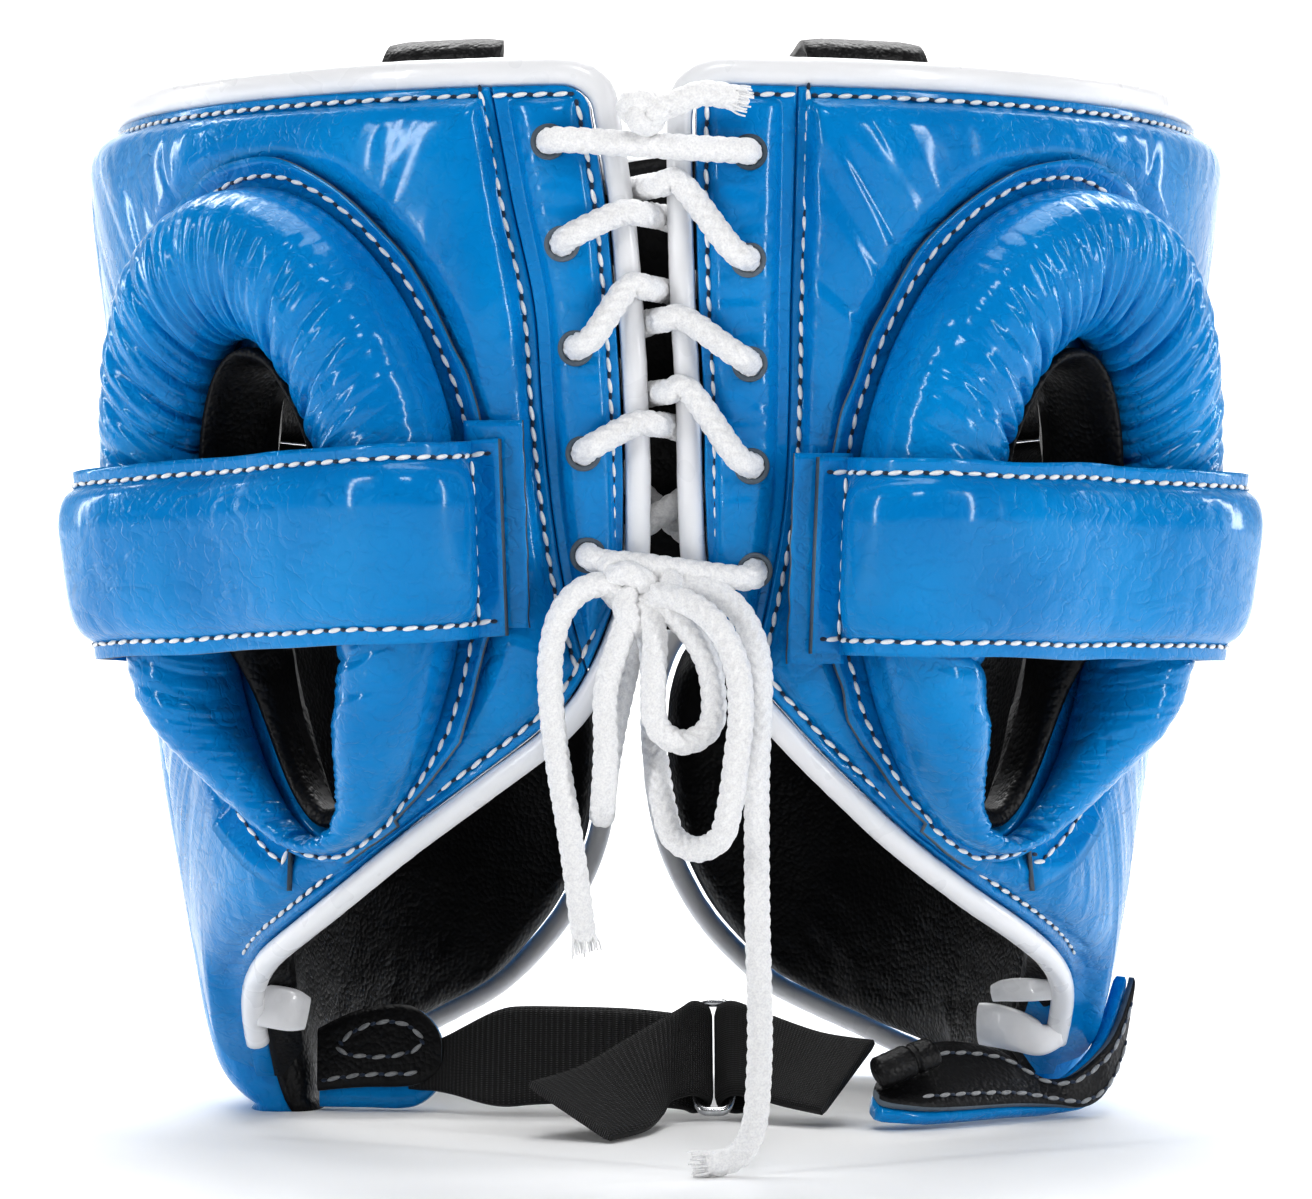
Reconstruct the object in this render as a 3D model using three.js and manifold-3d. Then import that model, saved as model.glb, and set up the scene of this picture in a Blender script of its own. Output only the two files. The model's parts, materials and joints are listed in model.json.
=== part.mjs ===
import * as THREE from "three";
import { mergeVertices } from "three/addons/utils/BufferGeometryUtils.js";
import Module from "manifold-3d";

const wasm = await Module();
wasm.setup();

// Sizes in millimetres. X is the wearer's right, Y the way the wearer faces, Z up, the floor at Z = 0.
// The wall is laid out flat: "along" runs round the head from the back centre, "height" is Z,
// and "lift" is the distance outwards from the middle of the padded wall.
const RIM_HEIGHT = 209;
const RIM_HALF_WIDTH = 113;
const FLOOR_HALF_WIDTH = 80;
const TAPER_POWER = 0.7;
const FACE_HALF_DEPTH_FLOOR = 99;
const FACE_HALF_DEPTH_RIM = 113;
const FACE_TURN = 3.5;
const ALONG_PER_DEGREE = 1.8;
const FIT_GAP = 0.3;
const SEAM_GAP = 0.5;

// Padded wall
const EDGE_OUT = 2;
const EDGE_IN = 1.5;
const PAD_OUT = 9;
const PAD_IN = 8;
const PAD_ROUNDING = 13;
const FRONT_PAD_OUT = 12;
const LACE_PAD_OUT = 5;
const LACE_PAD_IN = 3.5;
const LACE_PAD_ROUNDING = 6;
const LINING_THICKNESS = 1.6;
const BROW_SEAM_HEIGHT = 148;
const TEMPLE_TURN = 92;
const SOLE_END_TURN = 111;
const SOLE_SHARE = 0.62;

// White binding
const BINDING_RADIUS = 2.3;
const BINDING_SIDES = 6;
const BINDING_OFFSET = BINDING_RADIUS + 0.6;
const FACE_BINDING_OFFSET = BINDING_RADIUS + 1.6;
const CORNER_RADIUS = 8;
const NAPE_STEPS = 2;
const PANEL_STEP = 16;

// Ear ring: a stitched oval outside and a hole inside
const EAR_STITCH = { height: 125, halfAlong: 41, halfHeight: 66 };
const EAR_HOLE = { height: 112, halfAlong: 18.5, halfHeight: 49.5 };
const SLEEVE_CLEAR = 1.7;
const SLEEVE_THICKNESS = 1.6;
const SLEEVE_LOW = -4;
const SLEEVE_HIGH = 15;
const EAR_CENTRE_HEIGHT = 116;
const EAR_SEAT = 4;
const EAR_RING_THICKNESS = 22;
const EAR_RING_TAIL_THICKNESS = 8;
const EAR_FLANGE = 6;
const EAR_FLANGE_THICKNESS = 1.6;
const EAR_RISE = 12;
const GATHER_COUNT = 9;
const GATHER_DEPTH = 1.2;
const EAR_STEPS = 30;

// Ear strap
const EAR_STRAP_HALF_WIDTH = 19;
const EAR_STRAP_EDGE = 2;
const EAR_STRAP_THICKNESS = 5.5;
const EAR_STRAP_CLEAR = 0.5;
const EAR_STRAP_SAG = 4;

// Eyelets and lace
const LACE_RADIUS = 2.4;
const LACE_SIDES = 8;
const EYELET_RADIUS = 3.2;
const EYELET_SIDES = 6;
const LACE_OVER = 8.6;
const LACE_UNDER = -9.4;
const LACE_UNDER_LOW = -15.2;
const LACE_ROUND_EDGE = 5.05;
const LACE_CROSS_APART = 3;
const LACE_CROSS_SHARE = 0.5;

// Crown straps
const CROWN_STRAP_WIDTH = 26;
const CROWN_STRAP_THICKNESS = 2.6;
const CROWN_STRAP_DEPTH = 12;

// Chin strap
const WEBBING_WIDTH = 24;
const WEBBING_THICKNESS = 1.8;
const FLAP_THICKNESS = 3.4;
const PATCH_THICKNESS = 1.8;
const WIRE_RADIUS = 1;
const WIRE_SIDES = 6;
const WIRE_STEPS = 16;

const COLOURS = {
  blue: { color: 0x0a74c4, roughness: 0.32 },
  black: { color: 0x141416, roughness: 0.45 },
  white: { color: 0xf2f2ef, roughness: 0.3 },
  cotton: { color: 0xf4f3ee, roughness: 0.85 },
  webbing: { color: 0x19191b, roughness: 0.8 },
  steel: { color: 0xc9ccd0, roughness: 0.25, metalness: 1 },
};

// Back edges and back seams: x at each height, for the edge's binding and for the seam.
const BACK_ROWS = [
  { height: 187, edgeLeft: -6.8, edgeRight: 4.6, seamLeft: -27.6, seamRight: 26.3 },
  { height: 167, edgeLeft: -5.0, edgeRight: 5.2, seamLeft: -23.4, seamRight: 25.7 },
  { height: 148, edgeLeft: -3.9, edgeRight: 6.3, seamLeft: -22.0, seamRight: 25.4 },
  { height: 129, edgeLeft: -3.5, edgeRight: 6.7, seamLeft: -20.2, seamRight: 24.6 },
  { height: 112, edgeLeft: -4.6, edgeRight: 8.4, seamLeft: -17.6, seamRight: 21.9 },
];
const RIM_ROW = { edgeLeft: -9.6, edgeRight: 4.6, seamLeft: -31.6, seamRight: 26.8 };

// Lower edge from the nape to the jaw: degrees round from the back centre at each height.
const NAPE_ROWS = [
  { height: 95, turnLeft: 6.4, turnRight: 9.4 },
  { height: 84, turnLeft: 11.4, turnRight: 14.8 },
  { height: 73, turnLeft: 20.4, turnRight: 21.8 },
  { height: 61, turnLeft: 32, turnRight: 31 },
  { height: 50, turnLeft: 43.5, turnRight: 42.5 },
  { height: 42, turnLeft: 54, turnRight: 54 },
  { height: 34.5, turnLeft: 66, turnRight: 66 },
  { height: 27, turnLeft: 75.5, turnRight: 76 },
  { height: 18, turnLeft: 81.5, turnRight: 82 },
  { height: 7, turnLeft: 84.5, turnRight: 85 },
];

// Face opening: degrees round from the back centre, from the chin up to the middle of the brow.
const FACE_ROWS = [
  { turn: 115.5, height: 3.4 },
  { turn: 124, height: 5 },
  { turn: 134, height: 8 },
  { turn: 143, height: 12 },
  { turn: 151, height: 16 },
  { turn: 158, height: 20.5 },
  { turn: 164.5, height: 28 },
  { turn: 170, height: 37.5 },
  { turn: 174.2, height: 50 },
  { turn: 176.3, height: 63 },
  { turn: 177, height: 77 },
  { turn: 176.4, height: 91 },
  { turn: 173.2, height: 103 },
  { turn: 166, height: 111 },
  { turn: 158.5, height: 119 },
  { turn: 153.8, height: 130 },
  { turn: 153.2, height: 143 },
  { turn: 157, height: 155 },
  { turn: 165, height: 163 },
  { turn: 180, height: 167 },
];
const CHEEK_CORNER_ROW = 4;
const BROW_CORNER_ROW = 16;

// Eyelets from the top down: x at each height.
const EYELET_ROWS = [
  { left: { x: -19.8, height: 198 }, right: { x: 17.1, height: 196 } },
  { left: { x: -17.3, height: 178.5 }, right: { x: 16.9, height: 175.5 } },
  { left: { x: -14.8, height: 158.5 }, right: { x: 17.2, height: 155.5 } },
  { left: { x: -13.4, height: 138.3 }, right: { x: 17.6, height: 135.8 } },
  { left: { x: -12.6, height: 118.6 }, right: { x: 18.2, height: 115.6 } },
];

// The two halves: which way "along" runs, where the ear sits and how the ear strap slants.
const SIDES = [
  { name: "left", sign: -1, column: "Left", earTurn: 42.5, strapNear: 122, strapFar: 115.5 },
  { name: "right", sign: 1, column: "Right", earTurn: 43, strapNear: 118.5, strapFar: 116 },
];

// Small tools for numbers
const radians = THREE.MathUtils.degToRad;
const mix = THREE.MathUtils.lerp;
const clamp01 = (value) => THREE.MathUtils.clamp(value, 0, 1);

function smoothRise(value) {
  const t = clamp01(value);
  return t * t * (3 - 2 * t);
}

function roundRise(value) {
  const t = clamp01(value);
  return Math.sqrt(1 - (1 - t) ** 2);
}

function spread(count) {
  return Array.from({ length: count + 1 }, (_, index) => index / count);
}

// The middle of the padded wall
function halfWidth(height) {
  const share = Math.max(height, 0) / RIM_HEIGHT;
  return FLOOR_HALF_WIDTH + (RIM_HALF_WIDTH - FLOOR_HALF_WIDTH) * share ** TAPER_POWER;
}

function halfDepth(height, cosine) {
  if (cosine > 0) return halfWidth(height);
  return mix(FACE_HALF_DEPTH_FLOOR, FACE_HALF_DEPTH_RIM, height / RIM_HEIGHT);
}

function wallPoint(along, height, lift) {
  const plain = radians(along / ALONG_PER_DEGREE);
  const turn = plain + radians(FACE_TURN) * (1 - Math.cos(plain)) / 2;
  const sine = Math.sin(turn);
  const cosine = Math.cos(turn);
  const width = halfWidth(height);
  const depth = halfDepth(height, cosine);
  const outX = sine / width;
  const outY = -cosine / depth;
  const size = Math.hypot(outX, outY);
  return new THREE.Vector3(
    width * sine + lift * outX / size,
    -depth * cosine + lift * outY / size,
    height,
  );
}

function alongAtX(x, height) {
  return THREE.MathUtils.radToDeg(Math.asin(x / halfWidth(height))) * ALONG_PER_DEGREE;
}

// Flat curves
const flat = (along, height) => new THREE.Vector2(along, height);

function smoothLine(points, perSpan = 4) {
  return new THREE.SplineCurve(points).getPoints((points.length - 1) * perSpan);
}

function offsetLine(points, distance) {
  return points.map((point, index) => {
    const before = points[Math.max(index - 1, 0)];
    const after = points[Math.min(index + 1, points.length - 1)];
    const way = after.clone().sub(before).normalize();
    return flat(point.x - way.y * distance, point.y + way.x * distance);
  });
}

function lineAt(points) {
  const lengths = [0];
  for (let index = 1; index < points.length; index += 1) {
    lengths.push(lengths[index - 1] + points[index].distanceTo(points[index - 1]));
  }
  const total = lengths[lengths.length - 1];
  return (share) => {
    const wanted = clamp01(share) * total;
    let index = 1;
    while (index < lengths.length - 1 && lengths[index] < wanted) index += 1;
    const span = lengths[index] - lengths[index - 1];
    return points[index - 1].clone().lerp(points[index], (wanted - lengths[index - 1]) / span);
  };
}

// A patch between four flat curves: bottom and top run with u, start and end run with v.
function patchBetween(bottom, top, start, end) {
  const [bottomAt, topAt, startAt, endAt] = [bottom, top, start, end].map(lineAt);
  return (u, v) => {
    const across = bottomAt(u).lerp(topAt(u), v);
    const upward = startAt(v).lerp(endAt(v), u);
    const corners = bottomAt(0).lerp(bottomAt(1), u).lerp(topAt(0).lerp(topAt(1), u), v);
    return across.add(upward).sub(corners);
  };
}

// Closed solids
function closedSolid(points, faces) {
  const geometry = new THREE.BufferGeometry();
  geometry.setAttribute("position", new THREE.Float32BufferAttribute(points.flatMap((p) => p.toArray()), 3));
  let volume = 0;
  for (const [a, b, c] of faces) {
    volume += points[a].dot(points[b].clone().cross(points[c]));
  }
  geometry.setIndex(faces.flatMap(([a, b, c]) => (volume > 0 ? [a, b, c] : [a, c, b])));
  return geometry;
}

// A pad with an outer and an inner skin over a grid; a wrapped pad closes on itself along its columns.
function padSolid(columns, rows, wrapped, outerAt, innerAt) {
  const points = [];
  const faces = [];
  const stride = rows.length;
  const layer = columns.length * stride;
  for (const skinAt of [outerAt, innerAt]) {
    for (const column of columns) {
      for (const row of rows) points.push(skinAt(column, row));
    }
  }
  const quad = (a, b, c, d) => faces.push([a, b, c], [a, c, d]);
  const spans = wrapped ? columns.length : columns.length - 1;
  for (let column = 0; column < spans; column += 1) {
    const here = column * stride;
    const next = ((column + 1) % columns.length) * stride;
    for (let row = 0; row < stride - 1; row += 1) {
      quad(here + row, next + row, next + row + 1, here + row + 1);
      quad(layer + here + row, layer + here + row + 1, layer + next + row + 1, layer + next + row);
    }
    quad(here, layer + here, layer + next, next);
    const last = stride - 1;
    quad(here + last, next + last, layer + next + last, layer + here + last);
  }
  if (!wrapped) {
    const end = (columns.length - 1) * stride;
    for (let row = 0; row < stride - 1; row += 1) {
      quad(row, row + 1, layer + row + 1, layer + row);
      quad(end + row, layer + end + row, layer + end + row + 1, end + row + 1);
    }
  }
  return closedSolid(points, faces);
}

// A closed ring swept from equal sections.
function ringSolid(sections) {
  const points = sections.flat();
  const size = sections[0].length;
  const faces = [];
  sections.forEach((section, index) => {
    const next = (index + 1) % sections.length;
    section.forEach((_, corner) => {
      const beside = (corner + 1) % size;
      const a = index * size + corner;
      const b = next * size + corner;
      const c = next * size + beside;
      const d = index * size + beside;
      faces.push([a, b, c], [a, c, d]);
    });
  });
  return closedSolid(points, faces);
}

class RouteCurve extends THREE.CatmullRomCurve3 {
  getUtoTmapping(share) {
    return share;
  }
}

function roundSection(radius, sides) {
  const corners = spread(sides).slice(0, sides).map((share) => {
    const angle = share * Math.PI * 2;
    return flat(radius * Math.cos(angle), radius * Math.sin(angle));
  });
  return new THREE.Shape(corners);
}

function tubeSolid(points, radius, sides, perSpan = 1) {
  return new THREE.ExtrudeGeometry(roundSection(radius, sides), {
    steps: (points.length - 1) * perSpan,
    bevelEnabled: false,
    extrudePath: new RouteCurve(points),
  });
}

function manifoldOf(geometry) {
  const bare = geometry.clone();
  bare.deleteAttribute("normal");
  bare.deleteAttribute("uv");
  const merged = mergeVertices(bare);
  const mesh = new wasm.Mesh({
    numProp: 3,
    vertProperties: merged.getAttribute("position").array,
    triVerts: new Uint32Array(merged.index.array),
  });
  return new wasm.Manifold(mesh);
}

function geometryOf(manifold) {
  const mesh = manifold.getMesh();
  const geometry = new THREE.BufferGeometry();
  geometry.setAttribute("position", new THREE.BufferAttribute(mesh.vertProperties, 3));
  geometry.setIndex(new THREE.BufferAttribute(mesh.triVerts, 1));
  return geometry;
}

const headgear = new THREE.Group();
headgear.name = "cheek_protector_headgear";

function addPiece(name, geometry, colour) {
  const mesh = new THREE.Mesh(geometry, new THREE.MeshStandardMaterial(COLOURS[colour]));
  mesh.name = name;
  headgear.add(mesh);
}

// A pad over a flat patch, with its lining skin inside it.
function addPatchPad(name, liningName, size, columns, rows, placeAt, fillAt, cut) {
  const wall = (u, v, lift) => {
    const place = placeAt(u, v);
    return wallPoint(size.sign * place.x, place.y, lift);
  };
  const outAt = (u, v) => mix(EDGE_OUT, size.out, fillAt(u, v));
  const inAt = (u, v) => mix(EDGE_IN, size.in, fillAt(u, v));
  const pad = padSolid(
    columns, rows, false,
    (u, v) => wall(u, v, outAt(u, v)),
    (u, v) => wall(u, v, -inAt(u, v)),
  );
  const lining = padSolid(
    columns, rows, false,
    (u, v) => wall(u, v, -inAt(u, v) - FIT_GAP),
    (u, v) => wall(u, v, -inAt(u, v) - FIT_GAP - LINING_THICKNESS),
  );
  addPiece(name, cut(pad), "blue");
  addPiece(liningName, cut(lining), "black");
}

const uncut = (geometry) => geometry;

// How full a patch pad is at u, v: it rises over the rounding from each edge.
function patchFill(width, height, rounding) {
  return (u, v) => {
    const across = Math.min(u, 1 - u) * width;
    const upward = Math.min(v, 1 - v) * height;
    return roundRise(across / rounding) * roundRise(upward / rounding);
  };
}

// Edge lines of one half, in flat coordinates with "along" counted outwards from the back centre
function halfLines(side) {
  const at = (row, name, height) => side.sign * alongAtX(row[name + side.column], height);
  const rimLine = RIM_HEIGHT + BINDING_OFFSET;
  const cornerAlong = at(RIM_ROW, "edge", RIM_HEIGHT) + CORNER_RADIUS;
  const corner = spread(4).map((share) => {
    const angle = share * Math.PI / 2;
    const along = cornerAlong - CORNER_RADIUS * Math.sin(angle);
    return flat(along, rimLine - CORNER_RADIUS * (1 - Math.cos(angle)));
  });
  const backEdge = BACK_ROWS.map((row) => flat(at(row, "edge", row.height), row.height));
  const nape = NAPE_ROWS.map((row) => flat(row["turn" + side.column] * ALONG_PER_DEGREE, row.height));
  const perSpan = NAPE_STEPS;
  const edge = [...corner.slice(0, -1), ...smoothLine([corner[corner.length - 1], ...backEdge, ...nape], perSpan)];
  const inner = offsetLine(edge, BINDING_OFFSET);
  const cornerMiddle = 2;
  const edgeEnd = corner.length - 1 + backEdge.length * perSpan;
  const seamEnd = edgeEnd + perSpan;
  const seamRows = [
    flat(at(RIM_ROW, "seam", RIM_HEIGHT), RIM_HEIGHT),
    ...BACK_ROWS.map((row) => flat(at(row, "seam", row.height), row.height)),
    inner[seamEnd],
  ];
  return {
    edge,
    laceTop: inner.slice(0, cornerMiddle + 1),
    laceEdge: inner.slice(cornerMiddle, edgeEnd + 1),
    laceFoot: inner.slice(edgeEnd, seamEnd + 1),
    napeEdge: inner.slice(seamEnd),
    seam: smoothLine(seamRows, perSpan),
  };
}

const faceEdge = smoothLine(
  FACE_ROWS.map((row) => flat(row.turn * ALONG_PER_DEGREE, row.height)),
  3,
);
const faceInner = offsetLine(faceEdge, FACE_BINDING_OFFSET);
const cheekCorner = CHEEK_CORNER_ROW * 3;
const browCorner = BROW_CORNER_ROW * 3;
const templeAlong = TEMPLE_TURN * ALONG_PER_DEGREE;

// Eyelet places of one half
function eyelets(side) {
  return EYELET_ROWS.map((row) => {
    const place = row[side.name];
    return flat(alongAtX(place.x, place.height), place.height);
  });
}

function cutEyelets(side) {
  return (geometry) => {
    let solid = manifoldOf(geometry);
    for (const place of eyelets(side)) {
      const inside = wallPoint(place.x, place.y, -PAD_ROUNDING);
      const outside = wallPoint(place.x, place.y, PAD_ROUNDING);
      const way = outside.clone().sub(inside);
      const drill = new THREE.CylinderGeometry(EYELET_RADIUS, EYELET_RADIUS, way.length(), EYELET_SIDES);
      const turn = new THREE.Quaternion().setFromUnitVectors(new THREE.Vector3(0, 1, 0), way.clone().normalize());
      drill.applyQuaternion(turn);
      const middle = inside.add(outside).multiplyScalar(1 / 2);
      drill.translate(middle.x, middle.y, middle.z);
      solid = solid.subtract(manifoldOf(drill));
    }
    return geometryOf(solid);
  };
}

function addLacePanel(side, lines) {
  const seam = offsetLine(lines.seam, -SEAM_GAP / 2);
  const seamUp = [...seam].reverse();
  const edgeUp = [...lines.laceEdge].reverse();
  const foot = [seamUp[0], ...[...lines.laceFoot].reverse().slice(1)];
  const top = [seam[0], ...lines.laceTop];
  const placeAt = patchBetween(foot, top, seamUp, edgeUp);
  const size = { sign: side.sign, out: LACE_PAD_OUT, in: LACE_PAD_IN };
  const columns = [0, 0.16, 0.84, 1];
  const rows = spread(6);
  const fillAt = patchFill(18, 100, LACE_PAD_ROUNDING);
  addPatchPad(
    "lace_panel_" + side.name, "lining_lace_" + side.name, size, columns, rows, placeAt, fillAt, cutEyelets(side),
  );
}

// Distance from a flat point, along a direction, to an oval or to a closed outline
function ovalDistance(from, angle, oval, along) {
  const wayAlong = Math.cos(angle) / oval.halfAlong;
  const wayUp = Math.sin(angle) / oval.halfHeight;
  const fromAlong = (from.x - along) / oval.halfAlong;
  const fromUp = (from.y - oval.height) / oval.halfHeight;
  const a = wayAlong ** 2 + wayUp ** 2;
  const b = fromAlong * wayAlong + fromUp * wayUp;
  const c = fromAlong ** 2 + fromUp ** 2 - 1;
  return (-b + Math.sqrt(b * b - a * c)) / a;
}

function outlineDistance(from, angle, outline) {
  const way = flat(Math.cos(angle), Math.sin(angle));
  let nearest = Infinity;
  outline.forEach((start, index) => {
    const end = outline[(index + 1) % outline.length];
    const span = end.clone().sub(start);
    const apart = start.clone().sub(from);
    const cross = way.cross(span);
    if (cross === 0) return;
    const distance = apart.cross(span) / cross;
    const share = apart.cross(way) / cross;
    const slack = 1e-6;
    if (distance > 0 && share >= -slack && share <= 1 + slack) nearest = Math.min(nearest, distance);
  });
  return nearest;
}

// The side panel round the ear: where its outline lies and how far it lifts off the wall.
function sideLayout(side, lines) {
  const ear = flat(side.earTurn * ALONG_PER_DEGREE, EAR_CENTRE_HEIGHT);
  const seam = offsetLine(lines.seam, SEAM_GAP / 2);
  const temple = templeAlong - SEAM_GAP / 2;
  const jaw = lines.napeEdge[lines.napeEdge.length - 1];
  const nape = lines.napeEdge.filter((_, index) => index % NAPE_STEPS === 0);
  const corners = [flat(seam[0].x, RIM_HEIGHT), flat(temple, RIM_HEIGHT), flat(temple, jaw.y), ...nape];
  const outline = [corners[0], corners[1], corners[2], ...[...lines.napeEdge].reverse(), ...[...seam].reverse()];
  const reach = (angle) => ({
    hole: ovalDistance(ear, angle, EAR_HOLE, ear.x),
    stitch: ovalDistance(ear, angle, EAR_STITCH, ear.x),
    edge: outlineDistance(ear, angle, outline),
  });
  const liftAt = (distance, limits) => {
    const band = limits.edge - limits.stitch;
    const peak = mix(EDGE_OUT, PAD_OUT, Math.min(1, band / (2 * EAR_RISE)));
    const rise = smoothRise((distance - limits.stitch) / Math.min(EAR_RISE, band / 2));
    const fall = roundRise((limits.edge - distance) / Math.min(PAD_ROUNDING, band / 2));
    const seat = mix(EDGE_OUT, EAR_SEAT, fall);
    return Math.max(seat, mix(seat, peak, rise * fall));
  };
  const depthAt = (distance, limits) => {
    const inner = roundRise((distance - limits.hole) / PAD_ROUNDING);
    const outer = roundRise((limits.edge - distance) / PAD_ROUNDING);
    return mix(EDGE_IN, PAD_IN, inner * outer);
  };
  const angles = corners.map((corner) => corner.clone().sub(ear).angle());
  const around = fullTurnThrough(angles, radians(PANEL_STEP));
  return { ear, around, reach, liftAt, depthAt };
}

function fullTurnThrough(angles, step) {
  const sorted = [...angles].sort((a, b) => a - b);
  return sorted.flatMap((angle, index) => {
    const next = index + 1 < sorted.length ? sorted[index + 1] : sorted[0] + Math.PI * 2;
    const count = Math.max(1, Math.round((next - angle) / step));
    return spread(count).slice(0, -1).map((share) => mix(angle, next, share));
  });
}

function addSidePanel(side, layout) {
  const panelRows = [
    { hole: 1, stitch: 0, edge: 0 },
    { hole: 0, stitch: 1, edge: 0 },
    { hole: 0, stitch: 0.66, edge: 0.34 },
    { hole: 0, stitch: 0.2, edge: 0.8 },
    { hole: 0, stitch: 0, edge: 1 },
  ];
  const distanceAt = (limits, row) => limits.hole * row.hole + limits.stitch * row.stitch + limits.edge * row.edge;
  const skin = (angle, row, liftOf) => {
    const limits = layout.reach(angle);
    const distance = distanceAt(limits, row);
    const along = layout.ear.x + distance * Math.cos(angle);
    const height = layout.ear.y + distance * Math.sin(angle);
    return wallPoint(side.sign * along, height, liftOf(distance, limits));
  };
  const inset = LINING_THICKNESS + FIT_GAP;
  const panel = padSolid(
    layout.around, panelRows, true,
    (angle, row) => skin(angle, row, layout.liftAt),
    (angle, row) => skin(angle, row, (distance, limits) => -layout.depthAt(distance, limits)),
  );
  const lining = padSolid(
    layout.around, panelRows, true,
    (angle, row) => skin(angle, row, (distance, limits) => -FIT_GAP - layout.depthAt(distance, limits)),
    (angle, row) => skin(angle, row, (distance, limits) => -inset - layout.depthAt(distance, limits)),
  );
  addPiece("side_panel_" + side.name, panel, "blue");
  addPiece("lining_side_" + side.name, lining, "black");
}

// Ear ring: section corners as share of the half width from the middle, and share of the thickness.
const RING_SECTION = [
  { across: 0.97, up: 0.3 },
  { across: 0.93, up: 0.58 },
  { across: 0.66, up: 0.87 },
  { across: 0.15, up: 1 },
  { across: -0.42, up: 0.93 },
  { across: -0.86, up: 0.68 },
  { across: -1, up: 0.38 },
  { across: -0.72, up: 0.1 },
  { across: -0.3, up: 0 },
];

function ringAt(angle) {
  const sine = Math.sin(angle);
  const bottom = smoothRise((-sine - 0.5) / 0.5);
  const fold = GATHER_DEPTH * Math.cos(GATHER_COUNT * angle) * smoothRise((sine + 0.75) / 0.9);
  return { thickness: mix(EAR_RING_THICKNESS, EAR_RING_TAIL_THICKNESS, bottom), fold };
}

function addEarGuard(side, layout) {
  const sections = spread(EAR_STEPS).slice(0, EAR_STEPS).map((share) => {
    const angle = share * Math.PI * 2;
    const cosine = Math.cos(angle);
    const sine = Math.sin(angle);
    const outer = flat(layout.ear.x + EAR_STITCH.halfAlong * cosine, EAR_STITCH.height + EAR_STITCH.halfHeight * sine);
    const inner = flat(layout.ear.x + EAR_HOLE.halfAlong * cosine, EAR_HOLE.height + EAR_HOLE.halfHeight * sine);
    const middle = outer.clone().add(inner).multiplyScalar(1 / 2);
    const half = outer.clone().sub(middle);
    const ring = ringAt(angle);
    const seat = EAR_SEAT + FIT_GAP;
    const tube = RING_SECTION.map((corner) => {
      const inward = smoothRise(-corner.across);
      const place = middle.clone().addScaledVector(half, corner.across + inward * ring.fold / half.length());
      const puff = corner.up * (ring.thickness + ring.fold * (1 - Math.abs(corner.across)));
      return wallPoint(side.sign * place.x, place.y, seat + puff);
    });
    const away = outer.clone().sub(layout.ear);
    const heading = away.angle();
    const limits = layout.reach(heading);
    const reach = limits.stitch + Math.min(EAR_FLANGE, (limits.edge - limits.stitch) / 2);
    const lip = away.clone().setLength(reach).add(layout.ear);
    const lipSeat = layout.liftAt(reach, limits) + 3 * FIT_GAP;
    const root = away.clone().setLength(limits.stitch).add(layout.ear);
    const flange = [
      wallPoint(side.sign * root.x, root.y, seat + FIT_GAP),
      wallPoint(side.sign * lip.x, lip.y, lipSeat),
      wallPoint(side.sign * lip.x, lip.y, lipSeat + EAR_FLANGE_THICKNESS),
    ];
    return [...flange, ...tube];
  });
  addPiece("ear_guard_" + side.name, ringSolid(sections), "blue");
}

// The black sleeve that lines the ear hole from the lining up into the ring.
function addEarSleeve(side, layout) {
  const corners = [
    { clear: SLEEVE_CLEAR, lift: SLEEVE_LOW },
    { clear: SLEEVE_CLEAR, lift: SLEEVE_HIGH },
    { clear: SLEEVE_CLEAR + SLEEVE_THICKNESS, lift: SLEEVE_HIGH },
    { clear: SLEEVE_CLEAR + SLEEVE_THICKNESS, lift: SLEEVE_LOW },
  ];
  const sections = layout.around.map((angle) => {
    const hole = layout.reach(angle).hole;
    const low = smoothRise((-Math.sin(angle) - 0.5) / 0.5);
    return corners.map((corner) => {
      const along = layout.ear.x + (hole - corner.clear) * Math.cos(angle);
      const height = layout.ear.y + (hole - corner.clear) * Math.sin(angle);
      const lift = corner.lift > 0 ? mix(corner.lift, EAR_SEAT, low) : corner.lift;
      return wallPoint(side.sign * along, height, lift);
    });
  });
  addPiece("ear_sleeve_" + side.name, ringSolid(sections), "black");
}

// Ear strap: along the strap, offsets from the ear's middle and lifts of its underside.
function strapRows() {
  const ringMiddle = (EAR_STITCH.halfAlong + EAR_HOLE.halfAlong) / 2;
  const ringTop = EAR_SEAT + FIT_GAP + EAR_RING_THICKNESS + GATHER_DEPTH + EAR_STRAP_CLEAR;
  const wide = EAR_STITCH.halfAlong + EAR_STRAP_CLEAR;
  const footLift = EAR_SEAT + EAR_FLANGE_THICKNESS + 5;
  const half = [
    { offset: wide + EAR_FLANGE + 2, lift: footLift },
    { offset: wide + 1.5, lift: footLift + 0.5 },
    { offset: wide + 0.6, lift: mix(footLift, ringTop, 0.45) },
    { offset: mix(ringMiddle, wide, 0.75), lift: mix(footLift, ringTop, 0.86) },
    { offset: mix(ringMiddle, wide, 0.3), lift: ringTop },
    { offset: ringMiddle * 0.62, lift: ringTop - EAR_STRAP_SAG * 0.3 },
  ];
  const near = half.map((row) => ({ offset: -row.offset, lift: row.lift }));
  return [...near, { offset: 0, lift: ringTop - EAR_STRAP_SAG }, ...half.reverse()];
}

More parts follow.
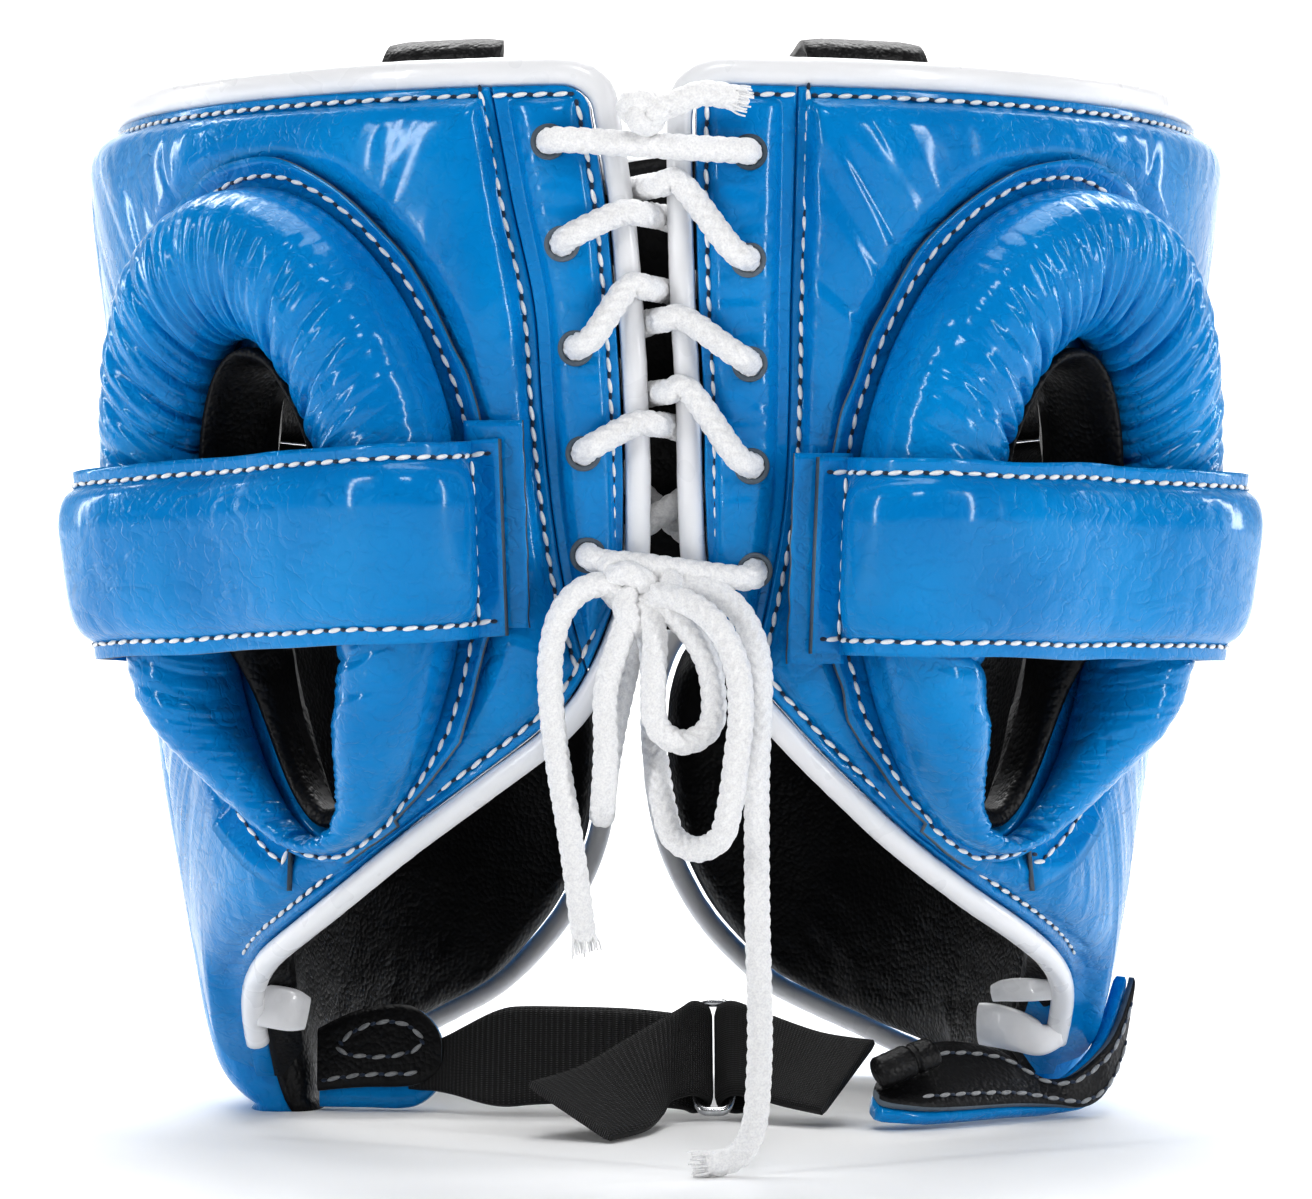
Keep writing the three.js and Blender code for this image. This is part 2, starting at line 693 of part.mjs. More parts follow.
function addEarStrap(side, layout) {
  const rows = strapRows();
  const across = [-1, -0.78, 0, 0.78, 1];
  const last = rows.length - 1;
  const place = (index, share, raise) => {
    const row = rows[index];
    const middle = mix(side.strapNear, side.strapFar, index / last);
    const before = rows[Math.max(index - 1, 0)];
    const after = rows[Math.min(index + 1, last)];
    const slope = flat(after.offset - before.offset, after.lift - before.lift).normalize();
    const along = layout.ear.x + row.offset - slope.y * raise;
    const height = middle + share * EAR_STRAP_HALF_WIDTH;
    return wallPoint(side.sign * along, height, row.lift + slope.x * raise);
  };
  const puff = (index, share) => {
    const ends = smoothRise(Math.min(index, last - index) - 0.5);
    return mix(EAR_STRAP_EDGE, EAR_STRAP_THICKNESS, (1 - share * share) * ends);
  };
  const strap = padSolid(
    rows.map((_, index) => index), across, false,
    (index, share) => place(index, share, puff(index, share)),
    (index, share) => place(index, share, 0),
  );
  addPiece("ear_strap_" + side.name, strap, "blue");
}

function addCheekPad(side) {
  const start = templeAlong + SEAM_GAP / 2;
  const soleEnd = SOLE_END_TURN * ALONG_PER_DEGREE;
  const bottom = [flat(start, 0), flat(soleEnd, 0), ...faceInner.slice(0, cheekCorner + 1)];
  const browEnd = faceInner[browCorner].clone().sub(flat(0, SEAM_GAP / 2));
  const inner = [...faceInner.slice(cheekCorner, browCorner), browEnd];
  const top = [flat(start, BROW_SEAM_HEIGHT - SEAM_GAP / 2), browEnd];
  const placeAt = patchBetween(bottom, top, [bottom[0], top[0]], inner);
  const size = { sign: side.sign, out: FRONT_PAD_OUT, in: PAD_IN };
  const plainFill = patchFill(110, 130, PAD_ROUNDING);
  const fillAt = (u, v) => {
    const sole = smoothRise((soleEnd - placeAt(u, 0).x) / EAR_FLANGE) * roundRise(u * 110 / PAD_ROUNDING);
    const lowEdge = 1 - roundRise(v * 130 / PAD_ROUNDING);
    return Math.max(plainFill(u, v), SOLE_SHARE * sole * lowEdge);
  };
  const columns = [0, 0.06, 0.18, 0.305, 0.4, 0.52, 0.66, 0.83, 1];
  const rows = [0, 0.06, 0.18, 0.34, 0.5, 0.66, 0.82, 0.94, 1];
  addPatchPad(
    "cheek_pad_" + side.name, "lining_cheek_" + side.name, size, columns, rows, placeAt, fillAt, uncut,
  );
}

// The brow runs from one temple round the face to the other; its second half mirrors the first.
function addForehead() {
  const start = templeAlong + SEAM_GAP / 2;
  const fullTurn = 360 * ALONG_PER_DEGREE;
  const lowHalf = [flat(start, BROW_SEAM_HEIGHT + SEAM_GAP / 2), ...faceInner.slice(browCorner)];
  lowHalf[1] = lowHalf[1].clone().add(flat(0, SEAM_GAP / 2));
  const mirrored = [...lowHalf].reverse().slice(1).map((point) => flat(fullTurn - point.x, point.y));
  const bottom = [...lowHalf, ...mirrored];
  const top = [flat(start, RIM_HEIGHT), flat(fullTurn - start, RIM_HEIGHT)];
  const placeAt = patchBetween(bottom, top, [bottom[0], top[0]], [bottom[bottom.length - 1], top[1]]);
  const size = { sign: 1, out: FRONT_PAD_OUT, in: PAD_IN };
  const columns = [0, 0.03, ...spread(12).map((share) => mix(0.1, 0.9, share)), 0.97, 1];
  const rows = [0, 0.13, 0.5, 0.87, 1];
  addPatchPad(
    "forehead_pad", "lining_forehead", size, columns, rows, placeAt, patchFill(330, 55, PAD_ROUNDING), uncut,
  );
}

// Bindings
function addBindings(left, right) {
  const fullTurn = 360 * ALONG_PER_DEGREE;
  const thin = (points, step) => points.filter((_, index) => index % step === 0 || index === points.length - 1);
  const rimStart = left.edge[0].x;
  const rimEnd = fullTurn - right.edge[0].x;
  const rim = spread(24).slice(1, -1).map((share) => flat(mix(rimStart, rimEnd, share), left.edge[0].y));
  const cornerSpans = 4;
  const thinEdge = (edge) => [...edge.slice(0, cornerSpans), ...thin(edge.slice(cornerSpans), 2)];
  const leftDown = thinEdge(left.edge).reverse().map((point) => flat(-point.x, point.y));
  const rimRoute = [
    ...leftDown,
    ...rim.map((point) => flat(-point.x, point.y)),
    ...thinEdge(right.edge).map((point) => flat(point.x - fullTurn, point.y)),
  ];
  const faceLeft = faceEdge.map((point) => flat(-point.x, point.y));
  const faceRight = [...faceEdge].reverse().slice(1).map((point) => flat(point.x - fullTurn, point.y));
  const place = (point) => wallPoint(point.x, point.y, 0);
  addPiece("binding_rim", tubeSolid(rimRoute.map(place), BINDING_RADIUS, BINDING_SIDES), "white");
  const faceRoute = thin([...faceLeft, ...faceRight], 2);
  addPiece("binding_face", tubeSolid(faceRoute.map(place), BINDING_RADIUS, BINDING_SIDES), "white");
}

// Lace threaded through the eyelets
function backEdgeX(height, column) {
  const rows = [{ height: RIM_HEIGHT, ...RIM_ROW }, ...BACK_ROWS];
  let index = 1;
  while (index < rows.length - 1 && rows[index].height > height) index += 1;
  const above = rows[index - 1];
  const below = rows[index];
  const share = (above.height - height) / (above.height - below.height);
  return mix(above["edge" + column], below["edge" + column], share);
}

function addLace() {
  const places = { left: eyelets(SIDES[0]), right: eyelets(SIDES[1]) };
  const other = { left: "right", right: "left" };
  const towardsGap = { left: 1, right: -1 };
  const edgeAt = (name, height) => alongAtX(backEdgeX(height, name === "left" ? "Left" : "Right"), height);
  const hop = (name, row, goingIn, lean) => {
    const place = places[name][row];
    const way = towardsGap[name];
    const over = [
      { shift: 3.6, lift: LACE_OVER },
      { shift: 0.2, lift: LACE_OVER - 2.8 },
    ];
    const under = [
      { shift: 0.2, lift: LACE_UNDER + 3.2 },
      { shift: 3.6, lift: LACE_UNDER },
    ];
    const through = [...over, ...under].map((step) => {
      const rise = step.shift * (step.lift > 0 ? lean.over : lean.under);
      return wallPoint(place.x + way * step.shift, place.y + rise, step.lift);
    });
    return goingIn ? through : through.reverse();
  };
  const crossing = (from, row, shift) => {
    const to = other[from];
    const high = places[from][row].y;
    const low = places[to][row + 1].y;
    const height = mix(high, low, LACE_CROSS_SHARE) + shift;
    const start = edgeAt(from, height);
    const end = edgeAt(to, height);
    const middle = (start + end) / 2;
    const diagonal = Math.SQRT1_2 * LACE_ROUND_EDGE;
    const way = towardsGap[from];
    return [
      wallPoint(start, height, -LACE_ROUND_EDGE),
      wallPoint(start + way * diagonal, height, -diagonal),
      wallPoint(middle, height, 0),
      wallPoint(end - way * diagonal, height, diagonal),
      wallPoint(end, height, LACE_ROUND_EDGE),
    ];
  };
  const strand = (first, shift, lowLift) => {
    const route = [];
    let name = first;
    for (let row = 0; row < 3; row += 1) {
      route.push(...hop(name, row, true, { over: row === 0 ? 0 : 0.6, under: -0.5 }));
      route.push(...crossing(name, row, shift));
      name = other[name];
    }
    route.push(...hop(name, 3, true, { over: 0.6, under: -0.5 }));
    const end = other[name];
    const middleHeight = (places[name][3].y + places[end][4].y) / 2;
    const middle = (edgeAt(name, middleHeight) + edgeAt(end, middleHeight)) / 2;
    route.push(wallPoint(middle, middleHeight, lowLift));
    route.push(...hop(end, 4, false, { over: -0.4, under: 0.5 }));
    return route;
  };
  const leftStrand = strand("left", LACE_CROSS_APART, LACE_UNDER);
  const rightStrand = strand("right", -LACE_CROSS_APART, LACE_UNDER_LOW);
  const barMiddle = wallPoint(-1, 197, LACE_OVER - 1.5);
  const route = [...leftStrand.reverse(), barMiddle, ...rightStrand];
  addPiece("lace", tubeSolid(route, LACE_RADIUS, LACE_SIDES), "cotton");
}

// The tongue behind the lacing: one margin lies on the left lining, the other edge is free.
const TONGUE_THICKNESS = 2;
const TONGUE_FOOT = 104;
const TONGUE_COLUMNS = [
  { along: -40, lift: -10.6, top: 182 },
  { along: -33, lift: -10.6, top: 183 },
  { along: -26, lift: -15.5, top: 188 },
  { along: -19, lift: -19, top: 193 },
  { along: 3, lift: -19.5, top: 197 },
  { along: 26, lift: -19, top: 195 },
];

function addTongue() {
  const place = (column, share, raise) => {
    const height = mix(TONGUE_FOOT, column.top, share);
    return wallPoint(column.along, height, column.lift + raise);
  };
  const tongue = padSolid(
    TONGUE_COLUMNS, spread(2), false,
    (column, share) => place(column, share, 0),
    (column, share) => place(column, share, -TONGUE_THICKNESS),
  );
  addPiece("lace_tongue", tongue, "black");
}

// The bow: hand-set routes of its loops and free ends, and its two knots.
const BOW_ROUTES = {
  lace_end_left: [
    { x: -12, y: -112, z: 113.2 },
    { x: -17.5, y: -113, z: 110 },
    { x: -20.5, y: -112.5, z: 97 },
    { x: -19, y: -111.5, z: 79 },
    { x: -16.2, y: -111, z: 62 },
    { x: -13.8, y: -111, z: 44 },
  ],
  lace_end_right: [
    { x: 5.9, y: -111, z: 113.4 },
    { x: 14.5, y: -111, z: 110 },
    { x: 20.5, y: -110.5, z: 96 },
    { x: 19.5, y: -111, z: 75 },
    { x: 19.5, y: -112, z: 52 },
    { x: 20, y: -114, z: 28 },
    { x: 19.5, y: -117, z: 12 },
    { x: 17.5, y: -121, z: 5 },
    { x: 14, y: -124, z: 2.9 },
    { x: 9, y: -125, z: 2.6 },
  ],
  lace_loop_left: [
    { x: -6, y: -113, z: 104.2 },
    { x: -9.5, y: -114.5, z: 93 },
    { x: -9.6, y: -113, z: 78 },
    { x: -10.4, y: -108, z: 68 },
    { x: -10.2, y: -101.5, z: 71 },
    { x: -8, y: -100, z: 84 },
    { x: -5, y: -103.5, z: 100 },
  ],
  lace_loop_middle: [
    { x: 0.3, y: -114.3, z: 103.6 },
    { x: -0.5, y: -117, z: 92 },
    { x: 1.5, y: -117, z: 84 },
    { x: 7.2, y: -117, z: 82.5 },
    { x: 11.2, y: -116.5, z: 88 },
    { x: 10, y: -115.5, z: 97 },
    { x: 5.4, y: -114, z: 104.4 },
  ],
  lace_loop_right: [
    { x: 5.6, y: -117, z: 109.6 },
    { x: 13, y: -121.6, z: 103 },
    { x: 16.4, y: -123, z: 90 },
    { x: 15, y: -122.5, z: 74 },
    { x: 11.5, y: -121, z: 62 },
    { x: 7, y: -118, z: 61 },
    { x: 1.5, y: -112, z: 70 },
    { x: -0.5, y: -106.5, z: 84 },
    { x: -0.5, y: -105.5, z: 102 },
  ],
  lace_top_end: [
    { x: 3.4, y: -123.5, z: 204.5 },
    { x: 9, y: -124, z: 206.4 },
    { x: 15.5, y: -123.5, z: 205.5 },
  ],
};
const KNOTS = [
  { name: "lace_knot", x: -3, y: -111.6, z: 111, halfX: 8, halfY: 6.6, halfZ: 8 },
  { name: "lace_top_knot", x: -2, y: -122, z: 203.3, halfX: 5, halfY: 4.6, halfZ: 4.2 },
];

function addBow() {
  for (const [name, rows] of Object.entries(BOW_ROUTES)) {
    const route = rows.map((row) => new THREE.Vector3(row.x, row.y, row.z));
    addPiece(name, tubeSolid(route, LACE_RADIUS, LACE_SIDES), "cotton");
  }
  for (const knot of KNOTS) {
    const ball = new THREE.SphereGeometry(1, 8, 6);
    ball.scale(knot.halfX, knot.halfY, knot.halfZ);
    ball.translate(knot.x, knot.y, knot.z);
    addPiece(knot.name, ball, "cotton");
  }
}

// Crown straps: from inside the back rim, over the top, to inside the front rim.
// A row with a depth lies that far inside the wall; the others lie between the two rims.
const CROWN_ROWS = [
  { share: 0, depth: 13, z: 186 },
  { share: 0, depth: 12.6, z: 200 },
  { share: 0, depth: 8, z: 212 },
  { share: 0, depth: 12, z: 217.5 },
  { share: 0.2, z: 220 },
  { share: 0.5, z: 221.5 },
  { share: 0.8, z: 220 },
  { share: 1, depth: 12, z: 217.5 },
  { share: 1, depth: 8, z: 212 },
  { share: 1, depth: 12.6, z: 200 },
  { share: 1, depth: 13, z: 186 },
];
const CROWN_MIDDLES = { left: -46.5, right: 45 };

function addCrownStrap(side) {
  const middle = CROWN_MIDDLES[side.name];
  const halfStrap = CROWN_STRAP_WIDTH / 2;
  const onWall = (share, across, depth, z) => {
    const along = alongAtX(middle + across * halfStrap, Math.min(z, RIM_HEIGHT));
    const front = side.sign * 180 * ALONG_PER_DEGREE - along;
    return wallPoint(share === 0 ? along : front, Math.min(z, RIM_HEIGHT), -depth).setZ(z);
  };
  const spine = (index, across) => {
    const row = CROWN_ROWS[index];
    if (row.depth) return onWall(row.share, across, row.depth, row.z);
    const back = onWall(0, across, CROWN_STRAP_DEPTH, row.z);
    return back.lerp(onWall(1, across, CROWN_STRAP_DEPTH, row.z), row.share);
  };
  const columns = CROWN_ROWS.map((_, index) => index);
  const place = (index, across, raise) => {
    const before = spine(Math.max(index - 1, 0), across);
    const after = spine(Math.min(index + 1, columns.length - 1), across);
    const way = after.sub(before).normalize();
    const face = new THREE.Vector3(1, 0, 0).cross(way).normalize();
    return spine(index, across).addScaledVector(face, raise);
  };
  const strap = padSolid(
    columns, [-1, 1], false,
    (index, across) => place(index, across, CROWN_STRAP_THICKNESS / 2),
    (index, across) => place(index, across, -CROWN_STRAP_THICKNESS / 2),
  );
  addPiece("crown_strap_" + side.name, strap, "black");
}

// Chin strap: each band's middle line, how far its face leans from lying flat and how far it swings, in degrees.
const BANDS = {
  chin_webbing: [
    { x: -60, y: -1.2, z: 12.4, lean: 81, swing: 0 },
    { x: -49, y: -2.2, z: 12.4, lean: 81, swing: 0 },
    { x: -40, y: -3.4, z: 12.4, lean: 68, swing: 0 },
    { x: -30, y: -4.6, z: 12.4, lean: 57, swing: 0 },
    { x: -20, y: -5.8, z: 12.8, lean: 52, swing: 0 },
    { x: -6, y: -7.2, z: 12.6, lean: 51, swing: 0 },
    { x: 5, y: -7.8, z: 11.6, lean: 50, swing: 0 },
    { x: 8.2, y: -7.2, z: 10.7, lean: 50, swing: 0 },
    { x: 11.2, y: -9.7, z: 12.75, lean: 50, swing: 0 },
    { x: 8.2, y: -12.2, z: 14.8, lean: 50, swing: 0 },
    { x: 4, y: -15.6, z: 13.6, lean: 48, swing: 4 },
    { x: -2, y: -26, z: 10, lean: 40, swing: -20 },
    { x: -9, y: -42, z: 7, lean: 28, swing: -40 },
    { x: -17.5, y: -58, z: 6, lean: 24, swing: -50 },
  ],
  chin_webbing_anchor: [
    { x: 19.5, y: -7.9, z: 11, lean: 50, swing: 0 },
    { x: 16.2, y: -7.2, z: 10.7, lean: 50, swing: 0 },
    { x: 13.3, y: -9.7, z: 12.75, lean: 50, swing: 0 },
    { x: 16.2, y: -12.2, z: 14.8, lean: 50, swing: 0 },
    { x: 22, y: -14, z: 13.4, lean: 42, swing: 8 },
    { x: 31, y: -20, z: 11, lean: 34, swing: 24 },
    { x: 40.2, y: -27.4, z: 10, lean: 34, swing: 36 },
  ],
};

function bandPoint(rows, index, share, halfAcross, raise) {
  const row = rows[index];
  const before = rows[Math.max(index - 1, 0)];
  const after = rows[Math.min(index + 1, rows.length - 1)];
  const way = new THREE.Vector3(after.x - before.x, after.y - before.y, after.z - before.z).normalize();
  const lean = radians(row.lean);
  const swing = radians(row.swing);
  const level = new THREE.Vector3(Math.sin(swing), Math.cos(swing), 0);
  const across = level.multiplyScalar(Math.cos(lean)).add(new THREE.Vector3(0, 0, Math.sin(lean)));
  const face = across.clone().cross(way).normalize();
  return new THREE.Vector3(row.x, row.y, row.z).addScaledVector(across, share * halfAcross).addScaledVector(face, raise);
}

function addBands() {
  for (const [name, rows] of Object.entries(BANDS)) {
    const band = padSolid(
      rows.map((_, index) => index), [-1, 1], false,
      (index, share) => bandPoint(rows, index, share, WEBBING_WIDTH / 2, WEBBING_THICKNESS / 2),
      (index, share) => bandPoint(rows, index, share, WEBBING_WIDTH / 2, -WEBBING_THICKNESS / 2),
    );
    addPiece(name, band, "webbing");
  }
}

// A wire loop between the two bands, lying in their plane.
const WIRE_LOOP = { x: 12.2, y: -9.7, z: 12.75, halfLong: 14, halfShort: 4.2, lean: 50 };

function addWireLoop() {
  const lean = radians(WIRE_LOOP.lean);
  const long = new THREE.Vector3(0, Math.cos(lean), Math.sin(lean));
  const short = new THREE.Vector3(1, 0, 0);
  const through = long.clone().cross(short);
  const middle = new THREE.Vector3(WIRE_LOOP.x, WIRE_LOOP.y, WIRE_LOOP.z);
  const sections = spread(WIRE_STEPS).slice(0, WIRE_STEPS).map((share) => {
    const angle = share * Math.PI * 2;
    const alongLong = Math.sign(Math.cos(angle)) * Math.abs(Math.cos(angle)) ** 0.5;
    const alongShort = Math.sign(Math.sin(angle)) * Math.abs(Math.sin(angle)) ** 0.5;
    const out = long.clone().multiplyScalar(Math.cos(angle)).addScaledVector(short, Math.sin(angle));
    const at = middle.clone().addScaledVector(long, WIRE_LOOP.halfLong * alongLong);
    at.addScaledVector(short, WIRE_LOOP.halfShort * alongShort);
    return spread(WIRE_SIDES).slice(0, WIRE_SIDES).map((part) => {
      const round = part * Math.PI * 2;
      const side = at.clone().addScaledVector(out, WIRE_RADIUS * Math.cos(round));
      return side.addScaledVector(through, WIRE_RADIUS * Math.sin(round));
    });
  });
  addPiece("chin_ring", ringSolid(sections), "steel");
}

// Tabs of the chin strap: the two long edges of each, from the jaw to the tip.
const TABS = {
  left: [
    { low: { x: -72, y: 7, z: 0.4 }, high: { x: -72, y: 9, z: 17 } },
    { low: { x: -63, y: 5.5, z: 0.4 }, high: { x: -63, y: 8.5, z: 21 } },
    { low: { x: -53.5, y: 4.5, z: 0.4 }, high: { x: -53.5, y: 8, z: 22 } },
    { low: { x: -45.5, y: 4, z: 2.5 }, high: { x: -45.5, y: 7, z: 19 } },
  ],
  right: [
    { low: { x: 96, y: 1, z: 15 }, high: { x: 98.5, y: 4, z: 29 } },
    { low: { x: 91, y: -6.4, z: 3 }, high: { x: 92, y: -4.6, z: 14 } },
    { low: { x: 83, y: -13.2, z: 0.4 }, high: { x: 80.5, y: -11, z: 6 } },
    { low: { x: 73, y: -22, z: 0.4 }, high: { x: 68.5, y: -12.5, z: 12 } },
    { low: { x: 59, y: -34, z: 0.4 }, high: { x: 54, y: -21, z: 13 } },
    { low: { x: 46.5, y: -43.5, z: 0.4 }, high: { x: 43, y: -30, z: 5 } },
  ],
};
const KEEPER_RADIUS = 3.2;
const KEEPER_ROUTE = [
  { x: 45.8, y: -38.4, z: 11.6 },
  { x: 52, y: -35.6, z: 14 },
  { x: 58, y: -32.6, z: 16 },
];

function tabSolid(rows, from, to) {
  const edge = (row, name) => new THREE.Vector3(row[name].x, row[name].y, row[name].z);
  const place = (index, share, raise) => {
    const before = edge(rows[Math.max(index - 1, 0)], "low");
    const after = edge(rows[Math.min(index + 1, rows.length - 1)], "low");
    const way = after.sub(before).normalize();
    const low = edge(rows[index], "low");
    const high = edge(rows[index], "high");
    const face = high.clone().sub(low).cross(way).normalize();
    if (face.y > 0) face.negate();
    return low.lerp(high, share).addScaledVector(face, raise);
  };
  return padSolid(
    rows.map((_, index) => index), [0, 0.5, 1], false,
    (index, share) => place(index, share, to),
    (index, share) => place(index, share, from),
  );
}

function addChinStrap() {
  for (const [name, rows] of Object.entries(TABS)) {
    const patchFrom = FLAP_THICKNESS + FIT_GAP;
    addPiece("chin_flap_" + name, tabSolid(rows, 0, FLAP_THICKNESS), "blue");
    addPiece("chin_patch_" + name, tabSolid(rows, patchFrom, patchFrom + PATCH_THICKNESS), "black");
  }
  const keeper = KEEPER_ROUTE.map((row) => new THREE.Vector3(row.x, row.y, row.z));
  addPiece("chin_keeper", tubeSolid(keeper, KEEPER_RADIUS, LACE_SIDES, 2), "black");
  addBands();
  addWireLoop();
}

const lines = SIDES.map(halfLines);
SIDES.forEach((side, index) => {
  const layout = sideLayout(side, lines[index]);
  addLacePanel(side, lines[index]);
  addSidePanel(side, layout);
  addEarGuard(side, layout);
  addEarSleeve(side, layout);
  addEarStrap(side, layout);
  addCheekPad(side);
  addCrownStrap(side);
});
addForehead();
addBindings(lines[0], lines[1]);
addLace();
addTongue();
addBow();
addChinStrap();

export default headgear;
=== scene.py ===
import json
import math

import bmesh
import bpy
from mathutils import Matrix, Vector, noise
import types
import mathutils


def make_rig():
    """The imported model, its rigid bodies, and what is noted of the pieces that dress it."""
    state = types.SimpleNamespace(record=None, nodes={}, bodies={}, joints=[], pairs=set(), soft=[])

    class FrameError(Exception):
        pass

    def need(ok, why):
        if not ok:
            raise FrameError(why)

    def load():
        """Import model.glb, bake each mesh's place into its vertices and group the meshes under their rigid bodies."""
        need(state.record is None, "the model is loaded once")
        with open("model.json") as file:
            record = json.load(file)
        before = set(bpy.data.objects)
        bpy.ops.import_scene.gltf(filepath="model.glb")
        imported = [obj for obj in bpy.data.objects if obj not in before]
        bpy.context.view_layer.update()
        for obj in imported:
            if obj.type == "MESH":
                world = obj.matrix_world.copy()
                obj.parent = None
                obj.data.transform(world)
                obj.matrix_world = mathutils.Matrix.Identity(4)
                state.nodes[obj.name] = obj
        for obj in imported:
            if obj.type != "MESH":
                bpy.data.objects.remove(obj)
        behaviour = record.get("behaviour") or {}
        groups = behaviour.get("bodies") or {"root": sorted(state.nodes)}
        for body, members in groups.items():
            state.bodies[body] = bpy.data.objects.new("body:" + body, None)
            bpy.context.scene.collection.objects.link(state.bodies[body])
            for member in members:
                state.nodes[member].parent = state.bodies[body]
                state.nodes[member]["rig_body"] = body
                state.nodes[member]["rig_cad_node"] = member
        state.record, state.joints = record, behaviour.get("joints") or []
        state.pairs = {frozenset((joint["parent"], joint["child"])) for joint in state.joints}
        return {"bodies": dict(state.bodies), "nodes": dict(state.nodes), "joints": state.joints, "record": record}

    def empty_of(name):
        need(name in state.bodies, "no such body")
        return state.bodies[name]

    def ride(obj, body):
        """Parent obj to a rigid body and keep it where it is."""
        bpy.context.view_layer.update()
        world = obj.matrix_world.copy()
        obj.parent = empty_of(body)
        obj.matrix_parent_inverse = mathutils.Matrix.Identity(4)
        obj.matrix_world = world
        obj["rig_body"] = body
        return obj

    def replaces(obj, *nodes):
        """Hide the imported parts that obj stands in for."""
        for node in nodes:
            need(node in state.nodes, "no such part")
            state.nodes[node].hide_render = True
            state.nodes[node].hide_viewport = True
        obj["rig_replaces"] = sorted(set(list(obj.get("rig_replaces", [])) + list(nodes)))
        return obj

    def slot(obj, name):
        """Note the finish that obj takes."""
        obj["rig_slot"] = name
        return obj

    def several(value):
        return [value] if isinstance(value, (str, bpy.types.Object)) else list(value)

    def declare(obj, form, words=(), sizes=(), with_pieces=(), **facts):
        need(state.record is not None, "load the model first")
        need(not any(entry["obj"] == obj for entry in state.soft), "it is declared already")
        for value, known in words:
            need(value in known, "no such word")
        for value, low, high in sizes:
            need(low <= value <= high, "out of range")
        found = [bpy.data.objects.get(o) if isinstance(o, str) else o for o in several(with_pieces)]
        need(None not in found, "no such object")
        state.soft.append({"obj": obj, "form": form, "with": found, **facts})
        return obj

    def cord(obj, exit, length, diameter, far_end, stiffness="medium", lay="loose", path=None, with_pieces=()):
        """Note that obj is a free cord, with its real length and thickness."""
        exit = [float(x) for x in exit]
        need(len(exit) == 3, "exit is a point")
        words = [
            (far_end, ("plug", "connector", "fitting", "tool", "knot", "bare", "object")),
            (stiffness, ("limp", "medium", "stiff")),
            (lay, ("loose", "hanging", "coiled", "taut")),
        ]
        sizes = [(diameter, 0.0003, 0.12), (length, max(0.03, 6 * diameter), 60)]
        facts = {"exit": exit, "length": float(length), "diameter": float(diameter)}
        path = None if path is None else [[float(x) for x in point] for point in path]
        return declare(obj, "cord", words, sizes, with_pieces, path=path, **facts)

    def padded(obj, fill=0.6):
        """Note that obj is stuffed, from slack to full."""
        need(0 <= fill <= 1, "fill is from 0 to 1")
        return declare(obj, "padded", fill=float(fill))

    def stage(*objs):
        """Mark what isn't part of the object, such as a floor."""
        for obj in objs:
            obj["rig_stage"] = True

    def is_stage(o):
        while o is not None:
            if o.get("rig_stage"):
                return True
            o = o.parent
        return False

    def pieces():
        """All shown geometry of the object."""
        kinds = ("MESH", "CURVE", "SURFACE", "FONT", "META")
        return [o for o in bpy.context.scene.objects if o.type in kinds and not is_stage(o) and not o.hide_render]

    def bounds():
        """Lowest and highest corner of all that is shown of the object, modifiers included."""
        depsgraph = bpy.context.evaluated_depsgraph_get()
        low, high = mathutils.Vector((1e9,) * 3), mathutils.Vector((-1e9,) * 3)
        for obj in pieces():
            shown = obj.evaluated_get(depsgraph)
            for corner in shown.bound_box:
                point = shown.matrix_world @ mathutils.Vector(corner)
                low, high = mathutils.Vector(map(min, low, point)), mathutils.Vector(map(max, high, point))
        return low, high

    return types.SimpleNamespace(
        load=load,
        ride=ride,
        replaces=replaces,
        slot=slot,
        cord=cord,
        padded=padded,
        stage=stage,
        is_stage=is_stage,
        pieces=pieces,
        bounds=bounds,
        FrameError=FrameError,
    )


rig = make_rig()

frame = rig.load()
cad_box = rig.bounds()
scene = bpy.context.scene
scene.view_settings.view_transform = "Standard"
scene.view_settings.look = "Medium High Contrast"

# Sizes in millimetres, as the solids have them; every finished point is in metres.
MM = 0.001
RIM_HEIGHT = 209
RIM_HALF_WIDTH = 113
FLOOR_HALF_WIDTH = 80
TAPER_POWER = 0.7
FACE_HALF_DEPTH_FLOOR = 99
FACE_HALF_DEPTH_RIM = 113
FACE_TURN = 3.5
ALONG_PER_DEGREE = 1.8
FULL_TURN = 360 * ALONG_PER_DEGREE
FIT_GAP = 0.3
SEAM_GAP = 0.5
HEM = 2.6

EDGE_OUT = 2
EDGE_IN = 1.5
PAD_OUT = 9
PAD_IN = 8
PAD_ROUNDING = 13
FRONT_PAD_OUT = 12
LACE_PAD_OUT = 5.2
LACE_PAD_IN = 3.5
LACE_PAD_ROUNDING = 6
LINING_THICKNESS = 1.6
LINING_SWELL = 1.4
BROW_SEAM_HEIGHT = 148
TEMPLE_TURN = 92
SOLE_END_TURN = 111
SOLE_SHARE = 0.62

BINDING_RADIUS = 2.3
BINDING_OFFSET = BINDING_RADIUS + 0.6
FACE_BINDING_OFFSET = BINDING_RADIUS + 1.6
CORNER_RADIUS = 8
EDGE_STEPS = 6
RIM_BINDING_HIGH = 2.95
BINDING_END_HEIGHT = 15

EAR_STITCH = {"height": 125, "half_along": 41, "half_height": 66}
EAR_HOLE = {"height": 112, "half_along": 18.5, "half_height": 49.5}
EAR_CENTRE_HEIGHT = 116
EAR_SEAT = 4
EAR_RING_THICKNESS = 22
EAR_RING_TAIL_THICKNESS = 8
EAR_FLANGE = 6
EAR_RISE = 12

EAR_STRAP_HALF_WIDTH = 19
EAR_STRAP_EDGE = 2
EAR_STRAP_THICKNESS = 5.5
EAR_STRAP_CLEAR = 0.5
EAR_STRAP_SAG = 4

